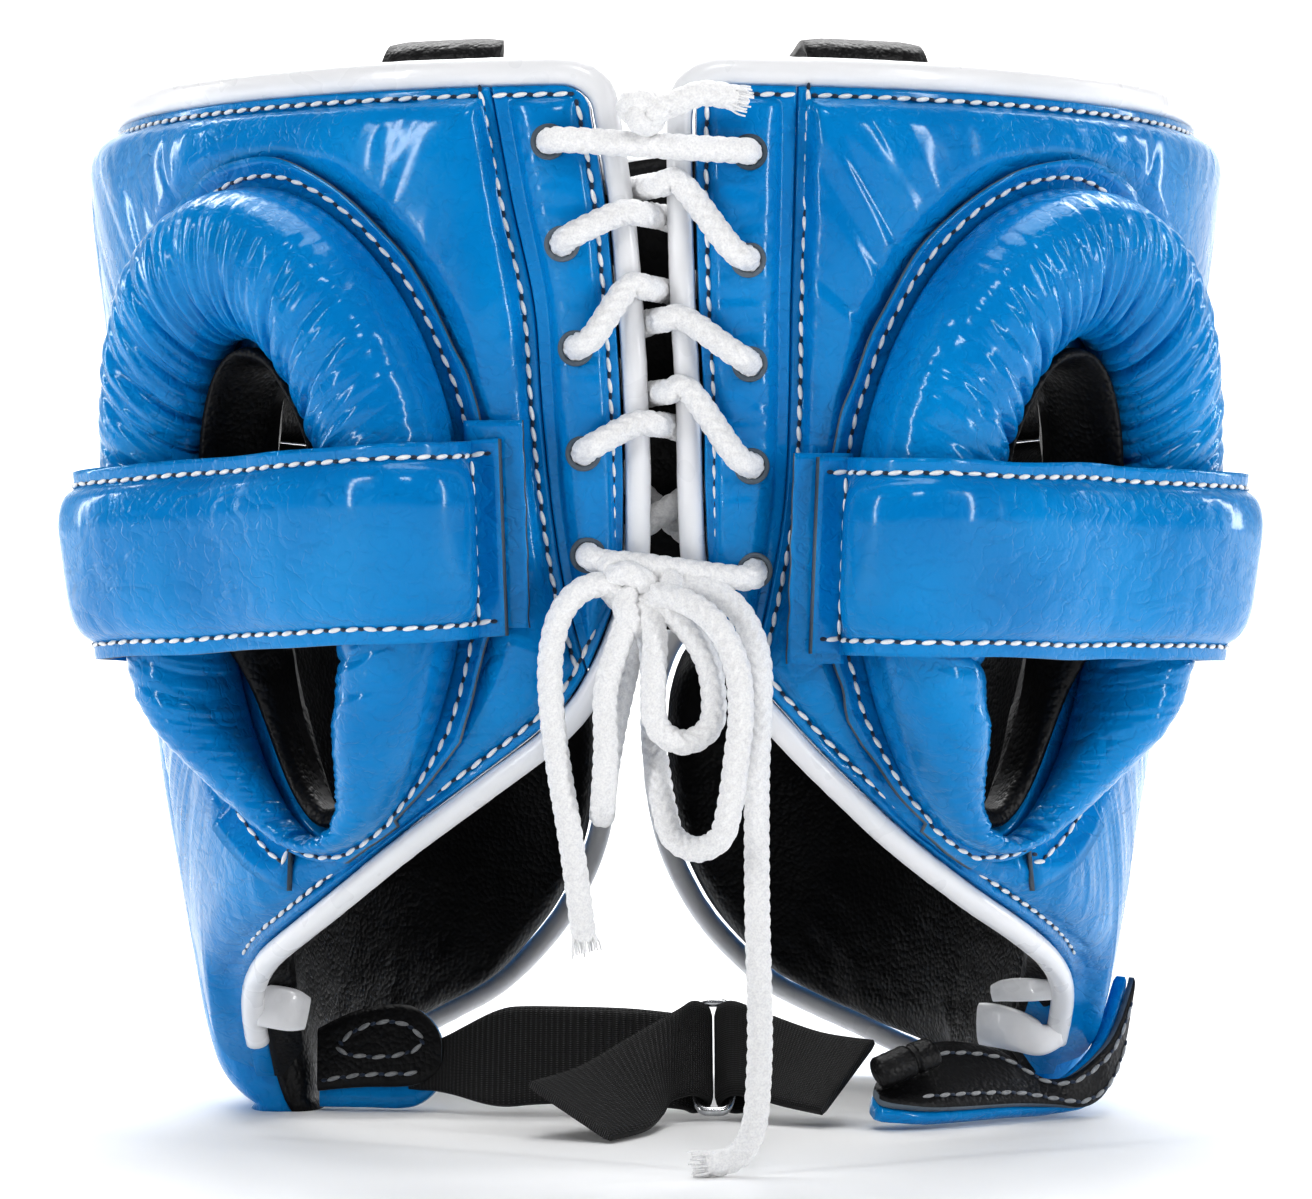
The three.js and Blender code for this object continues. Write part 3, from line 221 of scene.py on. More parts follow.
LACE_RADIUS = 2.4
LACE_OVER = 8.6
LACE_UNDER = -9.4
LACE_UNDER_LOW = -15.2
LACE_ROUND_EDGE = 5.05
LACE_CROSS_APART = 3
LACE_STEP = 0.5
BRAID_COLUMNS = 8
BRAID_PITCH = 2.6
LACE_AROUND = 32
EYELET_RADIUS = 3.2
FRAY_STRANDS = 22
FRAY_RADIUS = 0.3

CROWN_STRAP_WIDTH = 26
CROWN_STRAP_THICKNESS = 2.6
CROWN_STRAP_DEPTH = 12
WEBBING_WIDTH = 24
WEBBING_THICKNESS = 1.8
FLAP_THICKNESS = 3.4
PATCH_THICKNESS = 1.8
WIRE_RADIUS = 1

STITCH_PITCH = 4.1
STITCH_LENGTH = 3.1
STITCH_RADIUS = 0.5
STITCH_SLANT = 0.14
HEM_STITCH_END = 24

# Back edges and back seams from the rim down: x at each height
BACK_KEYS = ("height", "edge_left", "edge_right", "seam_left", "seam_right")
RIM_ROW, *BACK_ROWS = [dict(zip(BACK_KEYS, row)) for row in [
    (RIM_HEIGHT, -9.6, 4.6, -31.6, 26.8),
    (187, -6.8, 4.6, -27.6, 26.3),
    (167, -5.0, 5.2, -23.4, 25.7),
    (148, -3.9, 6.3, -22.0, 25.4),
    (129, -3.5, 6.7, -20.2, 24.6),
    (112, -4.6, 8.4, -17.6, 21.9),
]]

# Lower edge from the nape to the jaw: height, and degrees round from the back centre at left and right
NAPE_KEYS = ("height", "left", "right")
NAPE_ROWS = [dict(zip(NAPE_KEYS, row)) for row in [
    (95, 6.4, 9.4), (84, 11.4, 14.8), (73, 20.4, 21.8), (61, 32, 31), (50, 43.5, 42.5), (42, 54, 54),
    (34.5, 66, 66), (27, 75.5, 76), (18, 81.5, 82), (7, 84.5, 85),
]]

# Face opening from the chin up to the middle of the brow: degrees round from the back centre, and height
FACE_ROWS = [
    (115.5, 3.4), (124, 5), (134, 8), (143, 12), (151, 16), (158, 20.5), (164.5, 28), (170, 37.5), (174.2, 50),
    (176.3, 63), (177, 77), (176.4, 91), (173.2, 103), (166, 111), (158.5, 119), (153.8, 130), (153.2, 143),
    (157, 155), (165, 163), (180, 167),
]
CHEEK_CORNER_ROW = 4
BROW_CORNER_ROW = 16
FACE_STEPS = 6

# Eyelets from the top down: x and height
EYELETS = {
    "left": [(-19.8, 198), (-17.3, 178.5), (-14.8, 158.5), (-13.4, 138.3), (-12.6, 118.6)],
    "right": [(17.1, 196), (16.9, 175.5), (17.2, 155.5), (17.6, 135.8), (18.2, 115.6)],
}
SIDES = [
    {"name": "left", "sign": -1, "ear_turn": 42.5, "strap_near": 122, "strap_far": 115.5},
    {"name": "right", "sign": 1, "ear_turn": 43, "strap_near": 118.5, "strap_far": 116},
]


# Numbers
def mix(a, b, share):
    return a + (b - a) * share


def clamp01(value):
    return min(1.0, max(0.0, value))


def smooth_rise(value):
    t = clamp01(value)
    return t * t * (3 - 2 * t)


def round_rise(value):
    t = clamp01(value)
    return math.sqrt(1 - (1 - t) ** 2)


def flow(x, y, seed):
    return noise.noise(Vector((x, y, seed)))


def sharp_fold(x, y, seed):
    return max(0.0, 1 - 2.6 * abs(noise.noise(Vector((x, y, seed)))))


# The padded wall, laid out flat as along, height and lift
def half_width(height):
    share = max(height, 0) / RIM_HEIGHT
    return FLOOR_HALF_WIDTH + (RIM_HALF_WIDTH - FLOOR_HALF_WIDTH) * share ** TAPER_POWER


def wall_point(along, height, lift):
    plain = math.radians(along / ALONG_PER_DEGREE)
    turn = plain + math.radians(FACE_TURN) * (1 - math.cos(plain)) / 2
    sine = math.sin(turn)
    cosine = math.cos(turn)
    width = half_width(height)
    depth = width if cosine > 0 else mix(FACE_HALF_DEPTH_FLOOR, FACE_HALF_DEPTH_RIM, height / RIM_HEIGHT)
    out_x = sine / width
    out_y = -cosine / depth
    size = math.hypot(out_x, out_y)
    x = width * sine + lift * out_x / size
    y = -depth * cosine + lift * out_y / size
    return Vector((x, y, height)) * MM


def wall_normal(along, height):
    return (wall_point(along, height, 1) - wall_point(along, height, 0)).normalized()


def along_at_x(x, height):
    return math.degrees(math.asin(x / half_width(height))) * ALONG_PER_DEGREE


# Curves through points, flat or in space
def smooth_line(points, steps):
    line = []
    last = len(points) - 1
    for index in range(last):
        before, here = points[max(index - 1, 0)], points[index]
        there, after = points[index + 1], points[min(index + 2, last)]
        for step in range(steps):
            t = step / steps
            leave = (there - before) * 0.5
            arrive = (after - here) * 0.5
            line.append(
                (2 * here - 2 * there + leave + arrive) * t ** 3
                + (-3 * here + 3 * there - 2 * leave - arrive) * t ** 2
                + leave * t + here
            )
    return line + [points[last].copy()]


def flat(along, height):
    return Vector((along, height))


def heading(line, index):
    last = len(line) - 1
    return (line[min(index + 1, last)] - line[max(index - 1, 0)]).normalized()


def offset_line(points, distance):
    moved = []
    for index, point in enumerate(points):
        way = heading(points, index)
        moved.append(flat(point.x - way.y * distance, point.y + way.x * distance))
    return moved


def resample(points, count):
    lengths = [0.0]
    for before, here in zip(points, points[1:]):
        lengths.append(lengths[-1] + (here - before).length)
    placed = []
    index = 1
    for step in range(count + 1):
        wanted = lengths[-1] * step / count
        while index < len(points) - 1 and lengths[index] < wanted:
            index += 1
        span = max(lengths[index] - lengths[index - 1], 1e-9)
        placed.append(points[index - 1].lerp(points[index], (wanted - lengths[index - 1]) / span))
    return placed


def line_length(points):
    return sum((here - before).length for before, here in zip(points, points[1:]))


# Mesh pieces
def mesh_object(bm, name, finishes):
    bmesh.ops.recalc_face_normals(bm, faces=bm.faces)
    mesh = bpy.data.meshes.new(name)
    bm.to_mesh(mesh)
    bm.free()
    for polygon in mesh.polygons:
        polygon.use_smooth = True
    for finish in finishes:
        mesh.materials.append(finish)
    made = bpy.data.objects.new(name, mesh)
    scene.collection.objects.link(made)
    return made


def finish_piece(bm, name, finish, slot):
    piece = mesh_object(bm, name, finish if isinstance(finish, list) else [finish])
    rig.ride(piece, "root")
    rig.slot(piece, slot)
    return piece


def node_piece(bm, node, ending, finish, slot, fill=None):
    piece = finish_piece(bm, node + ending, finish, slot)
    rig.replaces(piece, node)
    if fill is not None:
        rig.padded(piece, fill=fill)
    return piece


def lay_grid(bm, spans_u, spans_v, place, wrap_u=False, wrap_v=False):
    made = bmesh.ops.create_grid(bm, x_segments=spans_u, y_segments=spans_v, size=0.5, calc_uvs=True)
    for vert in made["verts"]:
        column = round((vert.co.x + 0.5) * spans_u)
        row = round((vert.co.y + 0.5) * spans_v)
        vert.co = place(column % spans_u if wrap_u else column, row % spans_v if wrap_v else row)
    if wrap_u or wrap_v:
        bmesh.ops.remove_doubles(bm, verts=made["verts"], dist=1e-7)


def new_mesh():
    bm = bmesh.new()
    bm.loops.layers.uv.new("UVMap")
    return bm


def open_edges(bm):
    return [edge for edge in bm.edges if edge.is_boundary]


def ring_mesh(spans_u, spans_v, place):
    bm = new_mesh()
    lay_grid(bm, spans_u, spans_v, place, True, True)
    return bm


def pad_mesh(spans_u, spans_v, outer, inner, rim_skin=0):
    bm = new_mesh()
    lay_grid(bm, spans_u, spans_v, outer)
    lay_grid(bm, spans_u, spans_v, inner)
    rim = bmesh.ops.bridge_loops(bm, edges=open_edges(bm))
    for face in rim["faces"]:
        face.material_index = rim_skin
    return bm


def slab_mesh(spans_u, spans_v, place, front, back, rim_skin=0):
    def at(raised):
        return lambda column, row: place(column, row, raised)

    return pad_mesh(spans_u, spans_v, at(front), at(back), rim_skin)


def tube_frames(path, side_at):
    frames = []
    for index, point in enumerate(path):
        way = heading(path, index)
        side = side_at(index, way, frames[-1][1] if frames else None)
        side = (side - way * side.dot(way)).normalized()
        frames.append((point, side, way.cross(side)))
    return frames


def carried_side(index, way, before):
    return way.orthogonal() if before is None else before


def tube_mesh(bm, path, around, radius_at, side_at=carried_side):
    frames = tube_frames(path, side_at)

    def place(row, corner):
        point, side, other = frames[row]
        angle = corner / around * math.tau
        wide, high = radius_at(row, angle)
        return point + side * (wide * math.cos(angle)) + other * (high * math.sin(angle))

    lay_grid(bm, len(path) - 1, around, place, wrap_v=True)


def close_ends(bm):
    bmesh.ops.holes_fill(bm, edges=open_edges(bm), sides=0)
    return bm


def closed_tube(path, around, radius_at, side_at=carried_side):
    bm = new_mesh()
    tube_mesh(bm, path, around, radius_at, side_at)
    return close_ends(bm)


# Finishes
BLACK = (0, 0, 0)
WHITE = (1, 1, 1)
EVEN = (1, 1, 1)


class Finish:
    def __init__(self, name, rough, **sockets):
        self.material = bpy.data.materials.new(name)
        self.material.use_nodes = True
        self.nodes = self.material.node_tree.nodes
        self.link = self.material.node_tree.links.new
        self.shader = self.nodes["Principled BSDF"].inputs
        self.shader["Roughness"].default_value = rough
        for socket, value in sockets.items():
            self.shader[socket.replace("_", " ")].default_value = value

    def drive(self, socket, source):
        self.link(source, self.shader[socket])

    def texture(self, kind, scale, detail, stretch=EVEN, source="Object"):
        place = self.nodes.new("ShaderNodeTexCoord")
        mapping = self.nodes.new("ShaderNodeMapping")
        mapping.inputs["Scale"].default_value = stretch
        self.link(place.outputs[source], mapping.inputs["Vector"])
        texture = self.nodes.new(kind)
        texture.inputs["Scale"].default_value = scale
        if "Detail" in texture.inputs:
            texture.inputs["Detail"].default_value = detail
        self.link(mapping.outputs["Vector"], texture.inputs["Vector"])
        return texture

    def noise(self, scale, detail, stretch=EVEN):
        return self.texture("ShaderNodeTexNoise", scale, detail, stretch).outputs["Fac"]

    def ramp(self, source, *stops):
        node = self.nodes.new("ShaderNodeValToRGB")
        while len(node.color_ramp.elements) < len(stops):
            node.color_ramp.elements.new(0.5)
        for element, (position, colour) in zip(node.color_ramp.elements, stops):
            element.position = position
            element.color = (*colour, 1)
        self.link(source, node.inputs["Fac"])
        return node.outputs["Color"]

    def bump(self, height, strength, distance, under=None):
        node = self.nodes.new("ShaderNodeBump")
        node.inputs["Strength"].default_value = strength
        node.inputs["Distance"].default_value = distance
        self.link(height, node.inputs["Height"])
        if under is not None:
            self.link(under, node.inputs["Normal"])
        return node.outputs["Normal"]


def leather(name, dark, light, rough, rough_spread, grain, crease, **sockets):
    finish = Finish(name, rough, **sockets)
    finish.drive("Base Color", finish.ramp(finish.noise(38, 1), (0.3, dark), (0.72, light)))
    low, high = (rough - rough_spread,) * 3, (rough + rough_spread,) * 3
    finish.drive("Roughness", finish.ramp(finish.noise(130, 1), (0.25, low), (0.75, high)))
    cells = finish.texture("ShaderNodeTexVoronoi", 950, 0).outputs["Distance"]
    pebbles = finish.bump(finish.ramp(cells, (0.25, WHITE), (0.75, BLACK)), grain, 0.00012)
    lines = finish.ramp(finish.noise(240, 2), (0.45, WHITE), (0.5, BLACK), (0.55, WHITE))
    creases = finish.bump(lines, crease, 0.0002, pebbles)
    folds = finish.ramp(finish.noise(75, 1, (1, 1, 1.7)), (0.42, WHITE), (0.5, BLACK), (0.58, WHITE))
    finish.drive("Normal", finish.bump(folds, crease * 0.8, 0.0006, creases))
    return finish.material


def thread(name, dark, light):
    finish = Finish(name, 0.6, Sheen_Weight=0.2)
    fibre = finish.noise(900, 3)
    finish.drive("Base Color", finish.ramp(fibre, (0.3, dark), (0.7, light)))
    finish.drive("Normal", finish.bump(fibre, 0.4, 0.0001))
    return finish.material


def mottled(name, rough, scale, detail, dark, light, **sockets):
    finish = Finish(name, rough, **sockets)
    finish.drive("Base Color", finish.ramp(finish.noise(scale, detail), (0.3, dark), (0.7, light)))
    return finish.material


def braided_cotton():
    finish = Finish("white_braided_cotton", 0.88, Sheen_Weight=0.3)
    fluff = finish.noise(2400, 1)
    finish.drive("Base Color", finish.ramp(fluff, (0.25, (0.74, 0.74, 0.76)), (0.65, (0.88, 0.88, 0.88))))
    finish.drive("Normal", finish.bump(finish.noise(1600, 2), 0.5, 0.0002))
    return finish.material


def ribbed_webbing():
    finish = Finish("black_ribbed_webbing", 0.7)
    weave = finish.nodes.new("ShaderNodeMath")
    weave.operation = "MULTIPLY"
    for socket, (direction, count) in zip(weave.inputs, [("Y", 14), ("X", 36)]):
        ribs = finish.texture("ShaderNodeTexWave", 1.0, 0, (count, count, 1), "UV")
        ribs.bands_direction = direction
        finish.link(ribs.outputs["Fac"], socket)
    # Base colour follows the weave over the webbing's own near-black: darkest in its valleys as painted shade,
    # brightest on the rib tops as painted highlight
    weave_tones_shade_and_highlight = [(0.35, (0.003, 0.003, 0.0035)), (0.75, (0.014, 0.014, 0.015)), (0.97, (0.11, 0.11, 0.115))]
    finish.drive("Base Color", finish.ramp(weave.outputs[0], *weave_tones_shade_and_highlight))
    finish.drive("Normal", finish.bump(weave.outputs[0], 0.9, 0.0006))
    return finish.material


blue_leather = leather(
    "blue_glossy_leather", (0.0, 0.19, 0.5), (0.0, 0.245, 0.6), 0.3, 0.06, 0.34, 0.5,
    Specular_IOR_Level=0.18, Specular_Tint=(0.1, 0.6, 1, 1), Coat_Weight=0.5, Coat_Roughness=0.13,
)
black_leather = leather(
    "black_lining_leather", (0.003, 0.003, 0.0035), (0.006, 0.006, 0.007), 0.42, 0.04, 0.8, 0.16,
    Specular_IOR_Level=0.3,
)
white_vinyl = leather(
    "white_binding_vinyl", (0.77, 0.78, 0.8), (0.83, 0.83, 0.85), 0.3, 0.06, 0.04, 0.06, Coat_Weight=0.2,
)
raw_edge = leather("grey_raw_leather_edge", (0.05, 0.075, 0.1), (0.16, 0.19, 0.22), 0.85, 0.08, 0.5, 0.4)
white_thread = thread("white_sewing_thread", (0.72, 0.73, 0.74), (0.92, 0.92, 0.91))
# Needle holes: near-black blue spots of painted shade where the thread dips into the leather
needle_hole_painted_shade = thread("dark_needle_holes", (0.004, 0.012, 0.03), (0.01, 0.03, 0.07))
grey_thread = thread("grey_sewing_thread", (0.2, 0.21, 0.22), (0.34, 0.35, 0.36))
cotton = braided_cotton()
webbing_cloth = ribbed_webbing()
steel = mottled("bright_steel_wire", 0.22, 500, 4, (0.55, 0.56, 0.58), (0.8, 0.81, 0.83), Metallic=1.0)

# Camera: level, behind the headgear
CAMERA_BACK = 1.1
CAMERA_HEIGHT = 0.110
CAMERA_LENS = 140.6
CAMERA_SENSOR = 36
camera_data = bpy.data.cameras.new("camera")
camera_data.lens = CAMERA_LENS
camera_data.sensor_width = CAMERA_SENSOR
camera = bpy.data.objects.new("camera", camera_data)
camera.location = (0, -CAMERA_BACK, CAMERA_HEIGHT)
camera.rotation_euler = (math.radians(90), 0, 0)
scene.collection.objects.link(camera)
scene.camera = camera

# Lace: its way through the eyelets, and its last points towards the knot as along, height and more lift
OTHER = {"left": "right", "right": "left"}
TOWARDS_GAP = {"left": 1, "right": -1}
HOP_REACH = 3.6
HOP_HOLE = 0.2
HOP_DROP = 2.8
HOP_RISE = 3.2
OVER_LEAN = 0.6
UNDER_LEAN = -0.5
LAST_OVER_LEAN = -0.4
LAST_UNDER_LEAN = 0.5
LACE_ENDS = {"left": [(11, 112.6, 0.6), (5, 111.6, 0.4)], "right": [(-7.6, 117, 1), (-4.6, 113.5, 0.6)]}
LACE_TOP = (-1, 197, -1.5)


def braid_radius(row, angle):
    column = angle / math.tau * BRAID_COLUMNS
    across = column - math.floor(column) - 0.5
    lean = 1 if math.floor(column) % 2 else -1
    plait = abs(math.sin(math.pi * (row * LACE_STEP / BRAID_PITCH + lean * across * 0.9)))
    crown = math.sqrt(1 - 2.2 * across * across)
    size = LACE_RADIUS * MM * (0.77 + 0.22 * plait + 0.1 * crown)
    return size, size


def lace_piece(name, points):
    line = smooth_line(points, 14)
    path = resample(line, max(8, round(line_length(line) / (LACE_STEP * MM))))
    bm = closed_tube(path, LACE_AROUND, braid_radius)
    return node_piece(bm, name, "_cord", cotton, "white_lace"), path


def eyelets(name):
    return [flat(along_at_x(x, height), height) for x, height in EYELETS[name]]


def edge_along(name, height):
    rows = [RIM_ROW, *BACK_ROWS]
    index = 1
    while index < len(rows) - 1 and rows[index]["height"] > height:
        index += 1
    above, below = rows[index - 1], rows[index]
    share = (above["height"] - height) / (above["height"] - below["height"])
    return along_at_x(mix(above["edge_" + name], below["edge_" + name], share), height)


def lace_hop(name, row, going_in, over_lean, under_lean):
    place = eyelets(name)[row]
    way = TOWARDS_GAP[name]
    steps = [
        (HOP_REACH, LACE_OVER), (HOP_HOLE, LACE_OVER - HOP_DROP), (HOP_HOLE, LACE_UNDER + HOP_RISE),
        (HOP_REACH, LACE_UNDER),
    ]
    through = [
        wall_point(place.x + way * shift, place.y + shift * (over_lean if lift > 0 else under_lean), lift)
        for shift, lift in steps
    ]
    return through if going_in else through[::-1]


def lace_crossing(start_name, row, shift):
    end_name = OTHER[start_name]
    height = (eyelets(start_name)[row].y + eyelets(end_name)[row + 1].y) / 2 + shift
    start = edge_along(start_name, height)
    end = edge_along(end_name, height)
    diagonal = math.sqrt(0.5) * LACE_ROUND_EDGE
    way = TOWARDS_GAP[start_name]
    return [
        wall_point(start, height, -LACE_ROUND_EDGE),
        wall_point(start + way * diagonal, height, -diagonal),
        wall_point((start + end) / 2, height, 0),
        wall_point(end - way * diagonal, height, diagonal),
        wall_point(end, height, LACE_ROUND_EDGE),
    ]


def over_point(along, height, more):
    return wall_point(along, height, LACE_OVER + more)


def lace_strand(first, shift, low_lift):
    route = []
    name = first
    for row in range(3):
        route += lace_hop(name, row, True, OVER_LEAN if row else 0, UNDER_LEAN)
        route += lace_crossing(name, row, shift)
        name = OTHER[name]
    route += lace_hop(name, 3, True, OVER_LEAN, UNDER_LEAN)
    end = OTHER[name]
    height = (eyelets(name)[3].y + eyelets(end)[4].y) / 2
    route.append(wall_point((edge_along(name, height) + edge_along(end, height)) / 2, height, low_lift))
    route += lace_hop(end, 4, False, LAST_OVER_LEAN, LAST_UNDER_LEAN)
    return route + [over_point(*row) for row in LACE_ENDS[first]]


def make_lace():
    left = lace_strand("left", LACE_CROSS_APART, LACE_UNDER)
    right = lace_strand("right", -LACE_CROSS_APART, LACE_UNDER_LOW)
    lace_piece("lace", left[::-1] + [over_point(*LACE_TOP)] + right)


# Tongue behind the lacing: along, lift and top of each column
TONGUE_THICKNESS = 2
TONGUE_FOOT = 104
TONGUE_ROWS = 48
TONGUE_COLUMNS = [
    (-40, -10.6, 182), (-33, -10.6, 183), (-26, -15.5, 188), (-19, -19, 193), (3, -19.5, 197), (26, -19, 195),
]


def make_tongue():
    columns = smooth_line([Vector(column) for column in TONGUE_COLUMNS], 10)

    def place(column, row, depth):
        along, lift, top = columns[column]
        height = mix(TONGUE_FOOT, top, row / TONGUE_ROWS)
        ease = smooth_rise((along + 34) / 10)
        wave = ease * (0.7 * flow(along * 0.07, height * 0.05, 71) + 0.3 * flow(along * 0.2, height * 0.3, 75))
        return wall_point(along, height, lift - depth + min(wave, 0.6))

    bm = slab_mesh(len(columns) - 1, TONGUE_ROWS, place, 0, TONGUE_THICKNESS)
    node_piece(bm, "lace_tongue", "_leather", black_leather, "black_leather")


# Routes of the bow's loops and free ends
BOW_ROUTES = {
    "lace_end_left": [
        (-7.2, -111.6, 112.2), (-11, -112.4, 112.9), (-15.2, -113, 111.2), (-18.6, -113, 106.6), (-20.3, -112.6, 99),
        (-20.2, -112.2, 90), (-19, -111.5, 79), (-16.2, -111, 62), (-13.8, -111, 44),
    ],
    "lace_end_right": [
        (3.4, -111, 112.4), (8.2, -111, 112.6), (13.2, -111, 110.4), (17.4, -110.9, 105.6), (19.9, -110.6, 98),
        (20, -110.7, 88), (19.5, -111, 75), (19.5, -112, 52), (20, -114, 28), (19.6, -116.4, 16), (18.8, -118.6, 9.2),
        (16.8, -121.2, 4.9), (13.4, -123.4, 2.9), (9, -124.8, 2.6),
    ],
    "lace_loop_left": [
        (-4.4, -112.2, 109), (-6.4, -113.2, 103.4), (-9.5, -114.5, 93), (-9.6, -114.4, 82), (-9.9, -114.3, 75.3),
        (-10.2, -112.2, 70.4), (-10.4, -107.3, 68.3), (-10.3, -102.4, 70.4), (-9.8, -100.3, 75.3), (-8, -100, 86),
        (-5.4, -102.8, 98), (-3.8, -107, 106.4),
    ],
    "lace_loop_middle": [
        (-1.8, -112.6, 109.4), (-0.2, -114.4, 103.2), (-0.4, -116.4, 96), (-0.5, -117, 88.5), (1.2, -117, 84.4),
        (5.3, -117, 82.6), (9.4, -117, 84.4), (11.1, -116.8, 88.5), (10.2, -115.6, 97), (6.4, -114.2, 104),
        (0.8, -112.6, 109.2),
    ],
    "lace_loop_right": [
        (-0.4, -113.8, 111), (5.2, -117, 109.8), (11.2, -120.6, 105.6), (15.2, -122.6, 98), (16.2, -123, 89),
        (15.4, -122.8, 80), (14, -122, 70), (12.2, -120.5, 64.3), (7.75, -117, 62), (3.3, -113.5, 64.3),
        (1.5, -112, 70), (0.3, -109, 77), (-0.5, -106.5, 84), (-0.7, -105.9, 98), (-2, -108.6, 107.6),
    ],
}
TOP_END_ROUTE = [(0.5, -123.2, 203.6), (3.4, -123.5, 204.5), (9, -124, 206.4), (15.5, -123.5, 205.5)]
KNOTS = [
    {"name": "lace_knot", "middle": (-3, -111.6, 111), "reach": (5.6, 4.4, 5.6)},
    {"name": "lace_top_knot", "middle": (-2, -122, 203.3), "reach": (3.0, 2.6, 2.4)},
]
KNOT_STEPS = 32

# Frayed strands: turn from one to the next, share of the lace they start from, and lengths
FRAY_TURN = 2.4
FRAY_SHARE = 0.86
FRAY_ROOT = 1.2
FRAY_LENGTH = 3.4
FRAY_UNEVEN = 1.8
FRAY_BEND = 1.6


def make_knot(knot):
    middle = Vector(knot["middle"])
    reach_x, reach_y, reach_z = knot["reach"]
    points = []
    for step in range(KNOT_STEPS + 1):
        t = step / KNOT_STEPS * math.tau
        x = (math.sin(t) + 2 * math.sin(2 * t)) / 2.6
        z = (math.cos(t) - 2 * math.cos(2 * t)) / 2.8
        y = -math.sin(3 * t)
        points.append((middle + Vector((x * reach_x, y * reach_y * 0.5, z * reach_z))) * MM)
    return lace_piece(knot["name"], points)[0]


def make_fray(name, path, seed):
    end = path[-1]
    way = (path[-1] - path[-4]).normalized()
    side = way.orthogonal().normalized()
    other = way.cross(side)
    bm = new_mesh()
    for strand in range(FRAY_STRANDS):
        angle = strand * FRAY_TURN
        spread = math.sqrt((strand + 0.5) / FRAY_STRANDS) * LACE_RADIUS * MM * FRAY_SHARE
        out = side * math.cos(angle) + other * math.sin(angle)
        start = end - way * (FRAY_ROOT * MM) + out * spread
        reach = (FRAY_LENGTH + FRAY_UNEVEN * flow(strand * 0.9, 0, seed)) * MM
        bend = Vector([flow(strand, axis, seed) for axis in (1, 2, 3)]) * (FRAY_BEND * MM)
        tip = start + way * reach + out * spread * 0.5 + bend
        line = smooth_line([start, start.lerp(tip, 0.5) + out * (0.3 * MM), tip], 4)
        for point in line:
            point.z = max(point.z, FRAY_RADIUS * MM)
        tube_mesh(bm, line, 5, lambda row, turn: (FRAY_RADIUS * MM * (1 - 0.05 * row),) * 2)
    return finish_piece(close_ends(bm), name, cotton, "white_lace")


def make_bow():
    make_knot(KNOTS[1])
    top_path = lace_piece("lace_top_end", [Vector(row) * MM for row in TOP_END_ROUTE])[1]
    make_fray("lace_fray_top", top_path, 3)
    carried = [make_knot(KNOTS[0])]
    for name, rows in BOW_ROUTES.items():
        piece, path = lace_piece(name, [Vector(row) * MM for row in rows])
        goes_back = name.startswith("lace_loop")
        if not goes_back:
            carried.append(make_fray(name.replace("end", "fray"), path, 8))
        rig.cord(
            piece, exit=path[0], length=line_length(path), diameter=2 * LACE_RADIUS * MM,
            far_end="object" if goes_back else "bare", stiffness="limp", lay="hanging", path=path,
            with_pieces=carried,
        )
        carried = []


make_lace()
make_bow()
make_tongue()


# Edge lines of one half, with "along" counted outwards from the back centre
CORNER_STEPS = 8
CORNER_MIDDLE = 4


def half_lines(side):
    name = side["name"]

    def along(row, line):
        return side["sign"] * along_at_x(row[line + "_" + name], row["height"])

    corner_along = along(RIM_ROW, "edge") + CORNER_RADIUS
    corner = []
    for step in range(CORNER_STEPS + 1):
        angle = step / CORNER_STEPS * math.pi / 2
        height = RIM_HEIGHT + BINDING_OFFSET - CORNER_RADIUS * (1 - math.cos(angle))
        corner.append(flat(corner_along - CORNER_RADIUS * math.sin(angle), height))
    back_edge = [flat(along(row, "edge"), row["height"]) for row in BACK_ROWS]
    nape = [flat(row[name] * ALONG_PER_DEGREE, row["height"]) for row in NAPE_ROWS]
    edge = corner[:-1] + smooth_line([corner[-1], *back_edge, *nape], EDGE_STEPS)
    inner = offset_line(edge, BINDING_OFFSET)
    edge_end = CORNER_STEPS + len(back_edge) * EDGE_STEPS
    seam_end = edge_end + EDGE_STEPS
    seam_rows = [flat(along(row, "seam"), row["height"]) for row in [RIM_ROW, *BACK_ROWS]]
    return {
        "edge": edge,
        "lace_top": inner[:CORNER_MIDDLE + 1],
        "lace_edge": inner[CORNER_MIDDLE:edge_end + 1],
        "lace_foot": inner[edge_end:seam_end + 1],
        "nape_edge": inner[seam_end:],
        "seam": smooth_line([*seam_rows, inner[seam_end]], EDGE_STEPS),
    }


face_edge = smooth_line([flat(turn * ALONG_PER_DEGREE, height) for turn, height in FACE_ROWS], FACE_STEPS)
face_inner = offset_line(face_edge, FACE_BINDING_OFFSET)
cheek_corner = CHEEK_CORNER_ROW * FACE_STEPS
brow_corner = BROW_CORNER_ROW * FACE_STEPS
temple_along = TEMPLE_TURN * ALONG_PER_DEGREE


# A flat patch between four curves, sampled on a grid
class Patch:
    def __init__(self, bottom, top, start, end, spans_u, spans_v):
        self.spans_u = spans_u
        self.spans_v = spans_v
        self.bottom = resample(bottom, spans_u)
        self.top = resample(top, spans_u)
        self.start = resample(start, spans_v)
        self.end = resample(end, spans_v)

    def at(self, column, row):
        u = column / self.spans_u
        v = row / self.spans_v
        across = self.bottom[column].lerp(self.top[column], v)
        upward = self.start[row].lerp(self.end[row], u)
        low = self.bottom[0].lerp(self.bottom[-1], u)
        high = self.top[0].lerp(self.top[-1], u)
        return across + upward - low.lerp(high, v)

    def margins(self, column, row):
        u = column / self.spans_u
        v = row / self.spans_v
        width = (self.end[row] - self.start[row]).length
        height = (self.top[column] - self.bottom[column]).length
        return min(u, 1 - u) * width, min(v, 1 - v) * height


